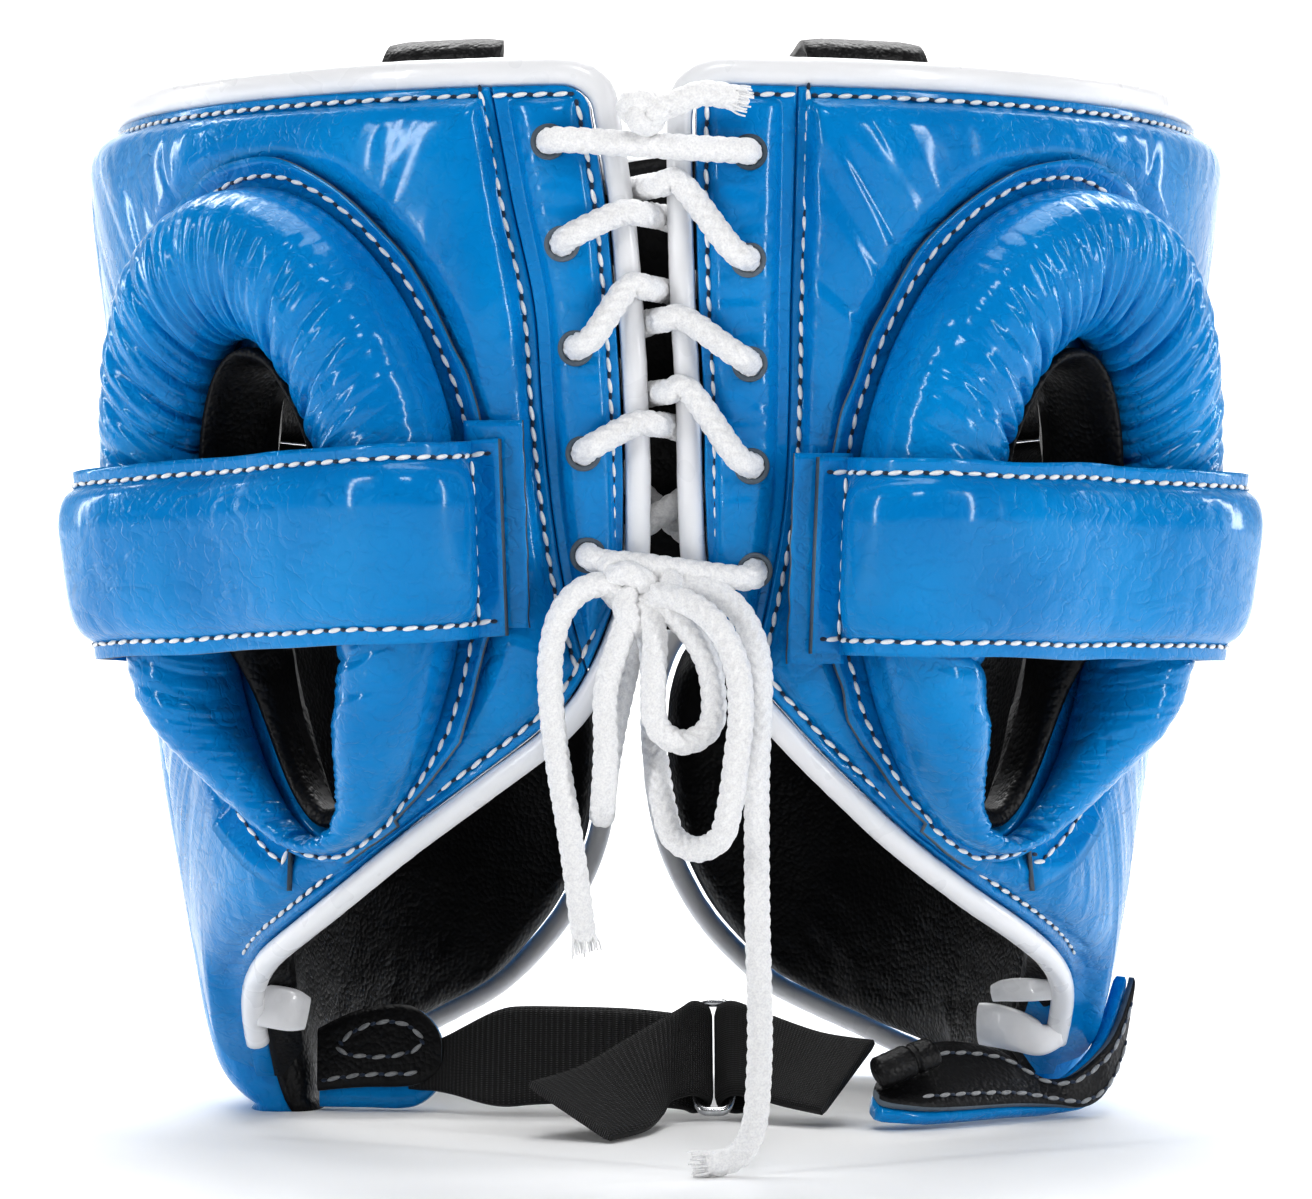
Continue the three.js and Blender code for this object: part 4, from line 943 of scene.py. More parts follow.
def leather_swell(place, run, seed, strength):
    patch_mask = smooth_rise(0.5 + 1.6 * flow(place.x * 0.02, place.y * 0.02, seed + 7))
    ripples = flow(place.x * run[0], place.y * run[1], seed)
    folds = sharp_fold(place.x * run[0] * 0.7, place.y * run[1] * 0.7, seed + 3)
    broad = flow(place.x * 0.05, place.y * 0.05, seed + 11)
    return strength * (patch_mask * (0.5 * ripples - 0.55 * folds) + 0.9 * broad)


def patch_pad(name, lining, size, patch, fill_at, run, seed, cutters=None):
    def skin_at(way, edge, full, extra, swell, skin_seed):
        def at(column, row):
            place = patch.at(column, row)
            fill = fill_at(column, row)
            bend = swell * smooth_rise(fill * 1.4) * leather_swell(place, run, skin_seed, size["swell"])
            return wall_point(size["sign"] * place.x, place.y, way * (mix(edge, full, fill) + extra) + bend)
        return at

    def inner(extra, swell):
        return skin_at(-1, EDGE_IN, size["in"], extra, swell, seed + 40)

    outer = skin_at(1, EDGE_OUT, size["out"], 0, 1, seed)
    pad = finish_piece(
        pad_mesh(patch.spans_u, patch.spans_v, outer, inner(0, 0)), name + "_leather", blue_leather, "blue_leather",
    )
    columns, rows = patch.spans_u // 2, patch.spans_v // 2

    def thinned(place):
        def at(column, row):
            return place(round(column * patch.spans_u / columns), round(row * patch.spans_v / rows))
        return at

    near = thinned(inner(FIT_GAP, 0))
    far = thinned(inner(FIT_GAP + LINING_THICKNESS, LINING_SWELL))
    skin = finish_piece(pad_mesh(columns, rows, near, far), lining + "_leather", black_leather, "black_leather")
    if cutters:
        cut_holes(pad, cutters)
        cut_holes(skin, cutters)
    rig.replaces(pad, name)
    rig.replaces(skin, lining)
    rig.padded(pad, fill=size["fill"])


def cut_holes(piece, cutters):
    bm = bmesh.new()
    for middle, way in cutters:
        turn = Vector((0, 0, 1)).rotation_difference(way).to_matrix().to_4x4()
        bmesh.ops.create_cone(
            bm, cap_ends=True, segments=18, radius1=EYELET_RADIUS * MM, radius2=EYELET_RADIUS * MM,
            depth=30 * MM, matrix=Matrix.Translation(middle) @ turn,
        )
    drill_mesh = bpy.data.meshes.new("eyelet_drill")
    bm.to_mesh(drill_mesh)
    bm.free()
    drill = bpy.data.objects.new("eyelet_drill", drill_mesh)
    scene.collection.objects.link(drill)
    cut = piece.modifiers.new("eyelets", "BOOLEAN")
    cut.operation = "DIFFERENCE"
    cut.object = drill
    cut.solver = "EXACT"
    done = bpy.data.meshes.new_from_object(piece.evaluated_get(bpy.context.evaluated_depsgraph_get()))
    piece.modifiers.clear()
    piece.data = done
    bpy.data.objects.remove(drill)


def hem_fill(across, upward, rounding):
    return round_rise((across - HEM) / rounding) * round_rise((upward - HEM) / rounding)


def make_lace_panel(side, lines):
    name = side["name"]
    seam_up = offset_line(lines["seam"], -SEAM_GAP / 2)[::-1]
    foot = [seam_up[0], *lines["lace_foot"][::-1][1:]]
    top = [seam_up[-1], *lines["lace_top"]]
    patch = Patch(foot, top, seam_up, lines["lace_edge"][::-1], 40, 130)
    size = {"sign": side["sign"], "out": LACE_PAD_OUT, "in": LACE_PAD_IN, "swell": 0.35, "fill": 0.5}
    cutters = [(wall_point(*place, 0), wall_normal(*place)) for place in eyelets(name)]
    patch_pad(
        "lace_panel_" + name, "lining_lace_" + name, size, patch,
        lambda column, row: hem_fill(*patch.margins(column, row), LACE_PAD_ROUNDING),
        (0.12, 0.42), 1.3 + side["sign"], cutters,
    )


# Side panel round the ear
def oval_distance(start, angle, oval, along):
    way_along = math.cos(angle) / oval["half_along"]
    way_up = math.sin(angle) / oval["half_height"]
    from_along = (start.x - along) / oval["half_along"]
    from_up = (start.y - oval["height"]) / oval["half_height"]
    a = way_along ** 2 + way_up ** 2
    b = from_along * way_along + from_up * way_up
    c = from_along ** 2 + from_up ** 2 - 1
    return (-b + math.sqrt(b * b - a * c)) / a


def cross(a, b):
    return a.x * b.y - a.y * b.x


def outline_distance(start, angle, outline):
    way = flat(math.cos(angle), math.sin(angle))
    nearest = math.inf
    for index, here in enumerate(outline):
        span = outline[(index + 1) % len(outline)] - here
        apart = here - start
        slant = cross(way, span)
        if slant == 0:
            continue
        distance = cross(apart, span) / slant
        share = cross(apart, way) / slant
        if distance > 0 and -1e-6 <= share <= 1 + 1e-6:
            nearest = min(nearest, distance)
    return nearest


class SideLayout:
    def __init__(self, side, lines):
        self.sign = side["sign"]
        self.ear = flat(side["ear_turn"] * ALONG_PER_DEGREE, EAR_CENTRE_HEIGHT)
        seam = offset_line(lines["seam"], SEAM_GAP / 2)
        temple = temple_along - SEAM_GAP / 2
        jaw = lines["nape_edge"][-1]
        corners = [flat(seam[0].x, RIM_HEIGHT), flat(temple, RIM_HEIGHT), flat(temple, jaw.y)]
        self.outline = corners + lines["nape_edge"][::-1] + seam[::-1]
        self.corner_angles = [
            math.atan2(corner.y - self.ear.y, corner.x - self.ear.x) % math.tau
            for corner in corners + [lines["nape_edge"][-1], lines["nape_edge"][0]]
        ]
        self.kept = {}

    def reach(self, angle):
        key = round(angle, 9)
        if key not in self.kept:
            self.kept[key] = {
                "hole": oval_distance(self.ear, angle, EAR_HOLE, self.ear.x),
                "stitch": oval_distance(self.ear, angle, EAR_STITCH, self.ear.x),
                "edge": outline_distance(self.ear, angle, self.outline),
            }
        return self.kept[key]

    def lift(self, distance, limits):
        band = limits["edge"] - limits["stitch"]
        peak = mix(EDGE_OUT, PAD_OUT, min(1, band / (2 * EAR_RISE)))
        rise = smooth_rise((distance - limits["stitch"]) / min(EAR_RISE, band / 2))
        hem = min(HEM, band / 4)
        fall = round_rise((limits["edge"] - hem - distance) / min(PAD_ROUNDING, band / 2))
        seat = mix(EDGE_OUT, EAR_SEAT, fall)
        return max(seat, mix(seat, peak, rise * fall))

    def depth(self, distance, limits):
        inner = round_rise((distance - limits["hole"]) / PAD_ROUNDING)
        outer = round_rise((limits["edge"] - distance) / PAD_ROUNDING)
        return mix(EDGE_IN, PAD_IN, inner * outer)

    def place(self, angle, distance):
        return flat(self.ear.x + distance * math.cos(angle), self.ear.y + distance * math.sin(angle))

    def spot(self, angle, distance, lift):
        place = self.place(angle, distance)
        return wall_point(self.sign * place.x, place.y, lift)

    def angles(self, count):
        marks = sorted(self.corner_angles)
        spread = []
        for index, mark in enumerate(marks):
            after = marks[index + 1] if index + 1 < len(marks) else marks[0] + math.tau
            spans = max(1, round((after - mark) / math.tau * count))
            spread += [mix(mark, after, step / spans) for step in range(spans)]
        return spread


SIDE_AROUND = 560
SIDE_SEAT_ROWS = 4
SIDE_OUT_ROWS = 36
SIDE_IN_ROWS = 14


def ring_flow(angle, scale, seed):
    return flow(math.cos(angle) * scale, math.sin(angle) * scale, seed)


def side_rows(limits):
    hole, stitch, edge = limits["hole"], limits["stitch"], limits["edge"]
    rows = [(mix(hole, stitch, step / SIDE_SEAT_ROWS), True) for step in range(SIDE_SEAT_ROWS)]
    rows += [(mix(stitch, edge, step / SIDE_OUT_ROWS), True) for step in range(SIDE_OUT_ROWS + 1)]
    return rows + [(mix(edge, hole, step / SIDE_IN_ROWS), False) for step in range(SIDE_IN_ROWS + 1)]


def side_swell(angle, distance, limits, seed):
    run = angle * 0.5 * (limits["stitch"] + limits["edge"])
    away = (distance - limits["stitch"]) / max(1.0, limits["edge"] - limits["stitch"])
    ease = smooth_rise(4 * away) * smooth_rise(4 * (1 - away))
    mask = smooth_rise(0.45 + 1.7 * ring_flow(angle, 3, seed))
    ripples = flow(run * 0.3, away * 1.2, seed + 2)
    folds = sharp_fold(run * 0.16, away * 0.9, seed + 5)
    crinkle = sharp_fold(run * 0.34, away * 1.6, seed + 7) * smooth_rise(1.4 * abs(2 * away - 1) - 0.1)
    broad = ring_flow(angle, 4, seed + 9 + away)
    return ease * (mask * (0.3 * ripples - 0.55 * folds) - 0.3 * crinkle + 0.5 * broad)


def make_side_panel(side, layout):
    name = side["name"]
    angles = layout.angles(SIDE_AROUND)
    table = [side_rows(layout.reach(angle)) for angle in angles]
    seed = 21 + 5 * side["sign"]

    def panel_lift(angle, distance, outside, limits):
        if outside:
            return layout.lift(distance, limits) + side_swell(angle, distance, limits, seed)
        return -layout.depth(distance, limits)

    def lining_lift(angle, distance, outside, limits):
        lift = -FIT_GAP - layout.depth(distance, limits)
        if not outside:
            place = layout.place(angle, distance)
            ease = smooth_rise((layout.depth(distance, limits) - EDGE_IN) / 4)
            lift += ease * leather_swell(place, (0.1, 0.16), seed + 30, 0.8) - LINING_THICKNESS
        return lift

    def skin_mesh(lift_at, step):
        def place(column, row):
            angle = angles[column * step]
            distance, outside = table[column * step][row]
            return layout.spot(angle, distance, lift_at(angle, distance, outside, layout.reach(angle)))

        return ring_mesh(len(angles) // step, len(table[0]), place)

    node_piece(skin_mesh(panel_lift, 1), "side_panel_" + name, "_leather", blue_leather, "blue_leather", 0.7)
    node_piece(skin_mesh(lining_lift, 2), "lining_side_" + name, "_leather", black_leather, "black_leather")


# Ear ring: closed section, as share of the half width from the middle and share of the thickness
RING_SECTION = [
    (0.98, 0.12), (0.98, 0.36), (0.92, 0.6), (0.66, 0.87), (0.15, 1), (-0.42, 0.94), (-0.86, 0.7), (-1, 0.4),
    (-0.74, 0.12), (-0.3, 0), (0.4, 0),
]
RING_AROUND = 560
RING_STEPS = 5
PLEATS = 36


def closed_line(points, steps):
    ring = [points[-1], *points, points[0], points[1]]
    return smooth_line(ring, steps)[steps:steps + len(points) * steps]


def ring_pleats(angle, inward, seed):
    x = math.cos(angle)
    y = math.sin(angle)
    top = smooth_rise((y + 0.65) / 1.2)
    low = smooth_rise((-y - 0.8) / 0.2)
    wander = 1.4 * ring_flow(angle, 2.2, seed + 0.5 * inward)
    gather = (1 - abs(math.sin(PLEATS * angle / 2 + wander))) ** 2.5
    size = clamp01(0.6 + 1.1 * ring_flow(angle, 5, seed + 4))
    crinkle = (1 - abs(math.sin(PLEATS * angle + 3 * wander + 2.5 * inward))) ** 2
    ripple = ring_flow(angle, 19, seed + 8 + 1.6 * inward)
    fine = sharp_fold(x * 26, y * 26, seed + 12 + 2.2 * inward)
    pull = inward ** 1.5
    deep = top * (pull * 4.6 * size * gather + 0.9 * (0.25 + pull) * crinkle)
    return deep + (0.3 + 0.25 * top) * ripple + 0.28 * fine + low * pull * 1.4 * gather


def ring_seed(side):
    return 60 + 3 * side["sign"]


def low_end(angle):
    return smooth_rise((-math.sin(angle) - 0.5) / 0.5)


def oval_point(oval, along, way):
    return flat(along + oval["half_along"] * way.x, oval["height"] + oval["half_height"] * way.y)


def make_ear_guard(side, layout):
    section = closed_line([Vector(corner) for corner in RING_SECTION], RING_STEPS)
    seed = ring_seed(side)

    def place(column, row):
        angle = column / RING_AROUND * math.tau
        way = flat(math.cos(angle), math.sin(angle))
        outer = oval_point(EAR_STITCH, layout.ear.x, way)
        middle = (outer + oval_point(EAR_HOLE, layout.ear.x, way)) / 2
        half = outer - middle
        across, up = section[row]
        pleat = ring_pleats(angle, clamp01(0.55 - 0.55 * across), seed) * smooth_rise(up * 4)
        at = middle + half * across + half.normalized() * (pleat * smooth_rise(-across) * 0.9)
        lift = EAR_SEAT + FIT_GAP + up * mix(EAR_RING_THICKNESS, EAR_RING_TAIL_THICKNESS, low_end(angle))
        lift -= pleat * smooth_rise(up * 2) * (1 - smooth_rise(-across - 0.4))
        return wall_point(layout.sign * at.x, at.y, lift)

    bm = ring_mesh(RING_AROUND, len(section), place)
    node_piece(bm, "ear_guard_" + side["name"], "_leather", blue_leather, "blue_leather", 0.85)
    make_flange(side, layout, seed)


# Flange of the ear ring: it ends in two longer tails, given in degrees round the ring, with a notch between them
FLANGE_TAILS = [(248, 266), (280, 301)]
TAIL_LENGTH = 4.5
TAIL_ROOM = 0.85
NOTCH_LIP = 1.6
FLANGE_THICKNESS = 1.3
FLANGE_CLEAR = 0.75
FLANGE_TUCK = 1.5
FLANGE_AROUND = 360
FLANGE_ACROSS = 5


def flange_reach(layout, angle, seed):
    limits = layout.reach(angle)
    wave = 0.8 * ring_flow(angle, 6, seed)
    room = limits["edge"] - limits["stitch"]
    degrees = math.degrees(angle) % 360
    if any(low < degrees < high for low, high in FLANGE_TAILS):
        lip = min(EAR_FLANGE + TAIL_LENGTH + wave, room * TAIL_ROOM)
    elif FLANGE_TAILS[0][1] <= degrees <= FLANGE_TAILS[1][0]:
        lip = NOTCH_LIP
    else:
        lip = min(EAR_FLANGE + wave, room / 2)
    return limits, limits["stitch"] + lip


def flange_lift(layout, angle, distance, limits, share, seed):
    curl = 1.1 * share ** 2 * smooth_rise(0.4 + 1.5 * ring_flow(angle, 4, seed + 2))
    return layout.lift(distance, limits) + FLANGE_CLEAR + curl


def make_flange(side, layout, seed):
    across = [step / FLANGE_ACROSS for step in range(FLANGE_ACROSS + 1)]
    section = [(share, FLANGE_THICKNESS) for share in across] + [(share, 0) for share in across[::-1]]

    def place(column, row):
        angle = column / FLANGE_AROUND * math.tau
        limits, lip = flange_reach(layout, angle, seed)
        share, raised = section[row]
        distance = mix(limits["stitch"] - FLANGE_TUCK, lip, share)
        return layout.spot(angle, distance, flange_lift(layout, angle, distance, limits, share, seed) + raised)

    bm = ring_mesh(FLANGE_AROUND, len(section), place)
    flange = finish_piece(bm, "ear_flange_" + side["name"], [blue_leather, raw_edge], "blue_leather")
    uv = flange.data.uv_layers["UVMap"].data
    for polygon in flange.data.polygons:
        v = sum(uv[loop].uv.y for loop in polygon.loop_indices) / polygon.loop_total
        if int(v * len(section)) == FLANGE_ACROSS:
            polygon.material_index = 1


# Ear sleeve: clearance inside the hole and lift, round its closed section
SLEEVE_SECTION = [
    (1.7, -4), (1.7, 2), (1.7, 8), (1.7, 13), (2.3, 15), (3.4, 14.6), (4.6, 12), (5.4, 8), (5.4, 4), (4.6, 0),
    (3.3, -4),
]
SLEEVE_AROUND = 160
SLEEVE_TOP = 15
SLEEVE_ROLL_FROM = 2.5


def make_ear_sleeve(side, layout):
    def place(column, row):
        angle = column / SLEEVE_AROUND * math.tau
        clear, lift = SLEEVE_SECTION[row]
        roll = 0.7 * ring_flow(angle, 7, 90 + lift * 0.1) if clear > SLEEVE_ROLL_FROM else 0
        if lift > 0:
            lift = mix(lift, EAR_SEAT * lift / SLEEVE_TOP + 1, low_end(angle))
        return layout.spot(angle, layout.reach(angle)["hole"] - clear - roll, lift)

    bm = ring_mesh(SLEEVE_AROUND, len(SLEEVE_SECTION), place)
    node_piece(bm, "ear_sleeve_" + side["name"], "_leather", black_leather, "black_leather")


# Ear strap
STRAP_ALONG = 130
STRAP_ACROSS = 44
STRAP_END = 9


def strap_rows():
    ring_middle = (EAR_STITCH["half_along"] + EAR_HOLE["half_along"]) / 2
    ring_top = EAR_SEAT + FIT_GAP + EAR_RING_THICKNESS + 1.2 + EAR_STRAP_CLEAR
    wide = EAR_STITCH["half_along"] + EAR_STRAP_CLEAR
    foot = EAR_SEAT + 1.6 + 5
    half = [
        (wide + EAR_FLANGE + 2, foot),
        (wide + 1.5, foot + 0.5),
        (wide + 0.6, mix(foot, ring_top, 0.45)),
        (mix(ring_middle, wide, 0.75), mix(foot, ring_top, 0.86)),
        (mix(ring_middle, wide, 0.3), ring_top),
        (ring_middle * 0.62, ring_top - EAR_STRAP_SAG * 0.3),
    ]
    rows = [Vector((-offset, lift)) for offset, lift in half]
    return rows + [Vector((0, ring_top - EAR_STRAP_SAG))] + [Vector(row) for row in half[::-1]]


class StrapLayout:
    def __init__(self, side, layout):
        self.side = side
        self.layout = layout
        self.spine = resample(smooth_line(strap_rows(), 10), STRAP_ALONG)

    def spot(self, index, share, raised):
        row = self.spine[index]
        slope = heading(self.spine, index)
        middle = mix(self.side["strap_near"], self.side["strap_far"], index / STRAP_ALONG)
        along = self.layout.ear.x + row.x - slope.y * raised
        wave = 0.5 * flow(index * 0.06, share, 33 + self.side["sign"])
        height = middle + share * (EAR_STRAP_HALF_WIDTH + wave)
        return wall_point(self.layout.sign * along, height, row.y + slope.x * raised)

    def normal(self, index, share):
        return (self.spot(index, share, 9) - self.spot(index, share, 0)).normalized()

    def puff(self, index, share):
        inside = clamp01((0.8 - abs(share)) / 0.8)
        ends = smooth_rise((min(index, STRAP_ALONG - index) - STRAP_END) / STRAP_END)
        swell = round_rise(inside * 1.7) * ends
        wrinkle = 0.22 * flow(index * 0.35, share * 1.4, 51) + 0.3 * flow(index * 0.05, share, 57)
        return mix(EAR_STRAP_EDGE, EAR_STRAP_THICKNESS + 0.6, swell) + swell * wrinkle


def make_ear_strap(side, layout):
    strap = StrapLayout(side, layout)

    def place(column, row, filled):
        share = 2 * row / STRAP_ACROSS - 1
        return strap.spot(column, share, filled * strap.puff(column, share))

    bm = slab_mesh(STRAP_ALONG, STRAP_ACROSS, place, 1, 0, 1)
    node_piece(bm, "ear_strap_" + side["name"], "_leather", [blue_leather, raw_edge], "blue_leather", 0.5)
    return strap


# Raw-edged layer under each strap's near end: low and high edge from the strap's middle
STRAP_MARGINS = {"left": (-17.5, 22.6), "right": (-21, 19.8)}
MARGIN_FROM = -3.8
MARGIN_TO = 7
MARGIN_SUNK = 0.3
MARGIN_THICKNESS = 1.2
MARGIN_SPANS = (12, 32)


def make_strap_margin(side, strap):
    low, high = STRAP_MARGINS[side["name"]]
    start = strap.spine[0]
    spans_u, spans_v = MARGIN_SPANS

    def place(column, row, depth):
        wave = 0.35 * flow(row * 0.3, column * 0.2, 47 + side["sign"])
        along = strap.layout.ear.x + start.x + mix(MARGIN_FROM, MARGIN_TO, column / spans_u) + wave
        height = side["strap_near"] + mix(low, high, row / spans_v)
        return wall_point(side["sign"] * along, height, start.y - MARGIN_SUNK + wave * 0.5 - depth)

    bm = slab_mesh(spans_u, spans_v, place, 0, MARGIN_THICKNESS, 1)
    finish_piece(bm, "ear_strap_margin_" + side["name"], [blue_leather, raw_edge], "blue_leather")


# Front pads
CHEEK_WIDTH = 110
CHEEK_HEIGHT = 130


def make_cheek_pad(side):
    start = temple_along + SEAM_GAP / 2
    sole_end = SOLE_END_TURN * ALONG_PER_DEGREE
    bottom = [flat(start, 0), flat(sole_end, 0), *face_inner[:cheek_corner + 1]]
    brow_end = face_inner[brow_corner] - flat(0, SEAM_GAP / 2)
    inner = [*face_inner[cheek_corner:brow_corner], brow_end]
    top = [flat(start, BROW_SEAM_HEIGHT - SEAM_GAP / 2), brow_end]
    patch = Patch(bottom, top, [bottom[0], top[0]], inner, 110, 110)

    def fill_at(column, row):
        across, upward = patch.margins(column, row)
        sole = smooth_rise((sole_end - patch.bottom[column].x) / EAR_FLANGE)
        sole *= round_rise(column / patch.spans_u * CHEEK_WIDTH / PAD_ROUNDING)
        low_edge = 1 - round_rise(row / patch.spans_v * CHEEK_HEIGHT / PAD_ROUNDING)
        plain = round_rise(across / PAD_ROUNDING) * round_rise(upward / PAD_ROUNDING)
        return max(plain, SOLE_SHARE * sole * low_edge)

    size = {"sign": side["sign"], "out": FRONT_PAD_OUT, "in": PAD_IN, "swell": 0.5, "fill": 0.8}
    patch_pad(
        "cheek_pad_" + side["name"], "lining_cheek_" + side["name"], size, patch, fill_at,
        (0.14, 0.22), 5 + side["sign"],
    )


def make_forehead():
    start = temple_along + SEAM_GAP / 2
    low_half = [flat(start, BROW_SEAM_HEIGHT + SEAM_GAP / 2), *[point.copy() for point in face_inner[brow_corner:]]]
    low_half[1] = low_half[1] + flat(0, SEAM_GAP / 2)
    mirrored = [flat(FULL_TURN - point.x, point.y) for point in low_half[::-1][1:]]
    bottom = low_half + mirrored
    top = [flat(start, RIM_HEIGHT), flat(FULL_TURN - start, RIM_HEIGHT)]
    patch = Patch(bottom, top, [bottom[0], top[0]], [bottom[-1], top[1]], 220, 60)

    def fill_at(column, row):
        across, upward = patch.margins(column, row)
        return round_rise(across / PAD_ROUNDING) * round_rise((upward - 1) / PAD_ROUNDING)

    size = {"sign": 1, "out": FRONT_PAD_OUT, "in": PAD_IN, "swell": 0.5, "fill": 0.8}
    patch_pad("forehead_pad", "lining_forehead", size, patch, fill_at, (0.25, 0.12), 9)


# Bindings
def binding_piece(name, route, wide, high, seed):
    places = resample(route, round(line_length(route) / 1.6))
    path = [wall_point(*place, 0) for place in places]
    normals = [wall_normal(*place) for place in places]

    def radius_at(row, angle):
        pucker = 1 + 0.035 * flow(row * 0.55, angle * 0.5, seed) + 0.02 * flow(row * 0.11, 0, seed + 3)
        rim = smooth_rise((places[row].y - RIM_HEIGHT + 6) / 8)
        return wide * MM * pucker, mix(high, RIM_BINDING_HIGH, rim) * MM * pucker

    bm = closed_tube(path, 16, radius_at, lambda index, way, before: normals[index])
    node_piece(bm, name, "_vinyl", white_vinyl, "white_binding")


def make_bindings(left, right):
    rim_start = left["edge"][0].x
    rim_end = FULL_TURN - right["edge"][0].x
    route = [flat(-point.x, point.y) for point in left["edge"][::-1]]
    route += [flat(-mix(rim_start, rim_end, step / 60), left["edge"][0].y) for step in range(1, 60)]
    route += [flat(point.x - FULL_TURN, point.y) for point in right["edge"]]
    route = [point for point in route if point.y > BINDING_END_HEIGHT]
    binding_piece("binding_rim", route, 2.5, 2.5, 14)
    face = [flat(-point.x, point.y) for point in face_edge]
    face += [flat(point.x - FULL_TURN, point.y) for point in face_edge[::-1][1:]]
    binding_piece("binding_face", face, 2.3, 2.5, 17)


# Folded ends of the rim binding inside each jaw: along, height and lift of the strip's middle, and half its width
FOLDED_ENDS = [
    {"name": "left_tab", "sign": -1, "thick": 1.2, "rows": [
        (139.5, 24.6, -1.5, 4.4), (139.5, 24, -5, 4.6), (140.5, 23.2, -8.6, 4.4), (142.5, 22.4, -11.4, 3.4),
    ]},
    {"name": "right_roll", "sign": 1, "thick": 3, "rows": [
        (146, 17.5, 0.5, 2.4), (144, 16.6, -3.2, 3.4), (144, 18, -7.4, 4.2), (145, 19, -11.4, 4.5),
        (147, 19.4, -14.4, 4.6), (149.5, 19.4, -16.6, 4.6),
    ]},
    {"name": "right_strip", "sign": 1, "thick": 1.2, "rows": [
        (137, 27.5, -2, 2), (137, 27.6, -5.8, 2.4), (139, 27.4, -9.6, 2.5), (142, 27, -13, 2.3),
        (145.5, 26.2, -15.4, 1.8),
    ]},
]
FOLDED_END_ROWS = 12


def make_folded_end(end):
    rows = smooth_line([Vector(row) for row in end["rows"]], 8)
    path = [wall_point(end["sign"] * row[0], row[1], row[2]) for row in rows]

    def place(column, row, raised):
        way = heading(path, column)
        up = Vector((0, 0, 1))
        up = (up - way * up.dot(way)).normalized()
        share = 2 * row / FOLDED_END_ROWS - 1
        belly = math.sqrt(max(0.0, 1 - share * share))
        crease = 0.25 * flow(column * 0.4, share * 2, 83)
        swell = raised * (end["thick"] * (0.35 + 0.65 * belly) + crease * belly) / 2
        return path[column] + (up * (share * rows[column][3]) + way.cross(up) * swell) * MM

    bm = slab_mesh(len(path) - 1, FOLDED_END_ROWS, place, 1, -1)
    finish_piece(bm, "binding_end_" + end["name"], white_vinyl, "white_binding")


# Eyelet rings
EYELET_RING = 3.0
EYELET_WIRE = 0.55
EYELET_RISE = 0.5
EYELET_AROUND = 28
EYELET_SECTION = 8


def make_eyelets(side):
    bm = new_mesh()
    for place in eyelets(side["name"]):
        middle = wall_point(*place, LACE_PAD_OUT + 0.1)
        normal = wall_normal(*place)
        across = normal.orthogonal().normalized()
        upward = normal.cross(across)

        def ring_at(column, row):
            angle = column / EYELET_AROUND * math.tau
            turn = row / EYELET_SECTION * math.tau
            out = across * math.cos(angle) + upward * math.sin(angle)
            wide = (EYELET_RING + EYELET_WIRE * math.cos(turn)) * MM
            return middle + out * wide + normal * (EYELET_RISE * math.sin(turn) * MM)

        lay_grid(bm, EYELET_AROUND, EYELET_SECTION, ring_at, True, True)
    finish_piece(bm, "eyelet_rings_" + side["name"], raw_edge, "steel_wire")


# Stitches: one short bead of thread every pitch along a line of surface points, with a needle hole between two, drawn
# as a flat dark spot of painted shade
STITCH_IN = 1.7
SEAM_STITCH_IN = 1.6
STITCH_LIFT = EDGE_OUT + 0.3
RING_STITCH_STEPS = 360
STRAP_STITCH_SHARE = 0.85
STRAP_END_SHARE = 0.82


def stitch_row(bm, points, normals):
    count = max(1, round(line_length(points) / (STITCH_PITCH * MM)))
    fine = resample(points, count * 4)
    fine_normals = resample(normals, count * 4)
    slant = Matrix.Rotation(STITCH_SLANT, 4, "Z")
    size = Matrix.Diagonal((STITCH_LENGTH / 2 / STITCH_RADIUS, 1.0, 0.85, 1.0))
    hole_shade_size = Matrix.Diagonal((1.5, 0.85, 0.5, 1.0))
    upright = Matrix.Rotation(math.pi / 2, 4, "Y")
    for index in range(0, count * 4, 4):
        way = (fine[index + 3] - fine[index + 1]).normalized()
        normal = fine_normals[index + 2]
        normal = (normal - way * normal.dot(way)).normalized()
        turn = Matrix((way, normal.cross(way), normal)).transposed().to_4x4()
        bmesh.ops.create_uvsphere(
            bm, u_segments=8, v_segments=6, radius=STITCH_RADIUS * MM,
            matrix=Matrix.Translation(fine[index + 2]) @ turn @ slant @ size @ upright,
        )
        # Each needle hole is a flat dark spot of painted shade, on the second finish
        hole = bmesh.ops.create_uvsphere(
            bm, u_segments=8, v_segments=4, radius=STITCH_RADIUS * MM,
            matrix=Matrix.Translation(fine[index]) @ turn @ hole_shade_size @ upright,
        )
        for face in {face for vert in hole["verts"] for face in vert.link_faces}:
            face.material_index = 1


def stitch_piece(name, rows, finish=white_thread, slot="white_lace"):
    bm = new_mesh()
    for points, normals in rows:
        stitch_row(bm, points, normals)
    finish_piece(bm, name, [finish, needle_hole_painted_shade], slot)


def wall_stitches(sign, line, lift):
    places = resample(line, max(4, round(line_length(line) / 1.5)))
    points = [wall_point(sign * place.x, place.y, lift) for place in places]
    return points, [wall_normal(sign * place.x, place.y) for place in places]


def layout_stitches(layout, route, raised_at):
    points = [layout.spot(column, share, raised_at(column, share)) for column, share in route]
    return points, [layout.normal(column, share) for column, share in route]


def ring_stitches(side, layout):
    points, normals = [], []
    seed = ring_seed(side)
    for step in range(RING_STITCH_STEPS + 1):
        angle = step / RING_STITCH_STEPS * math.tau
        limits, lip = flange_reach(layout, angle, seed)
        distance = mix(limits["stitch"], lip, 0.42)
        lift = flange_lift(layout, angle, distance, limits, 0.55, seed) + 1.45
        place = layout.place(angle, distance)
        points.append(wall_point(layout.sign * place.x, place.y, lift))
        normals.append(wall_normal(layout.sign * place.x, place.y))
    return points, normals


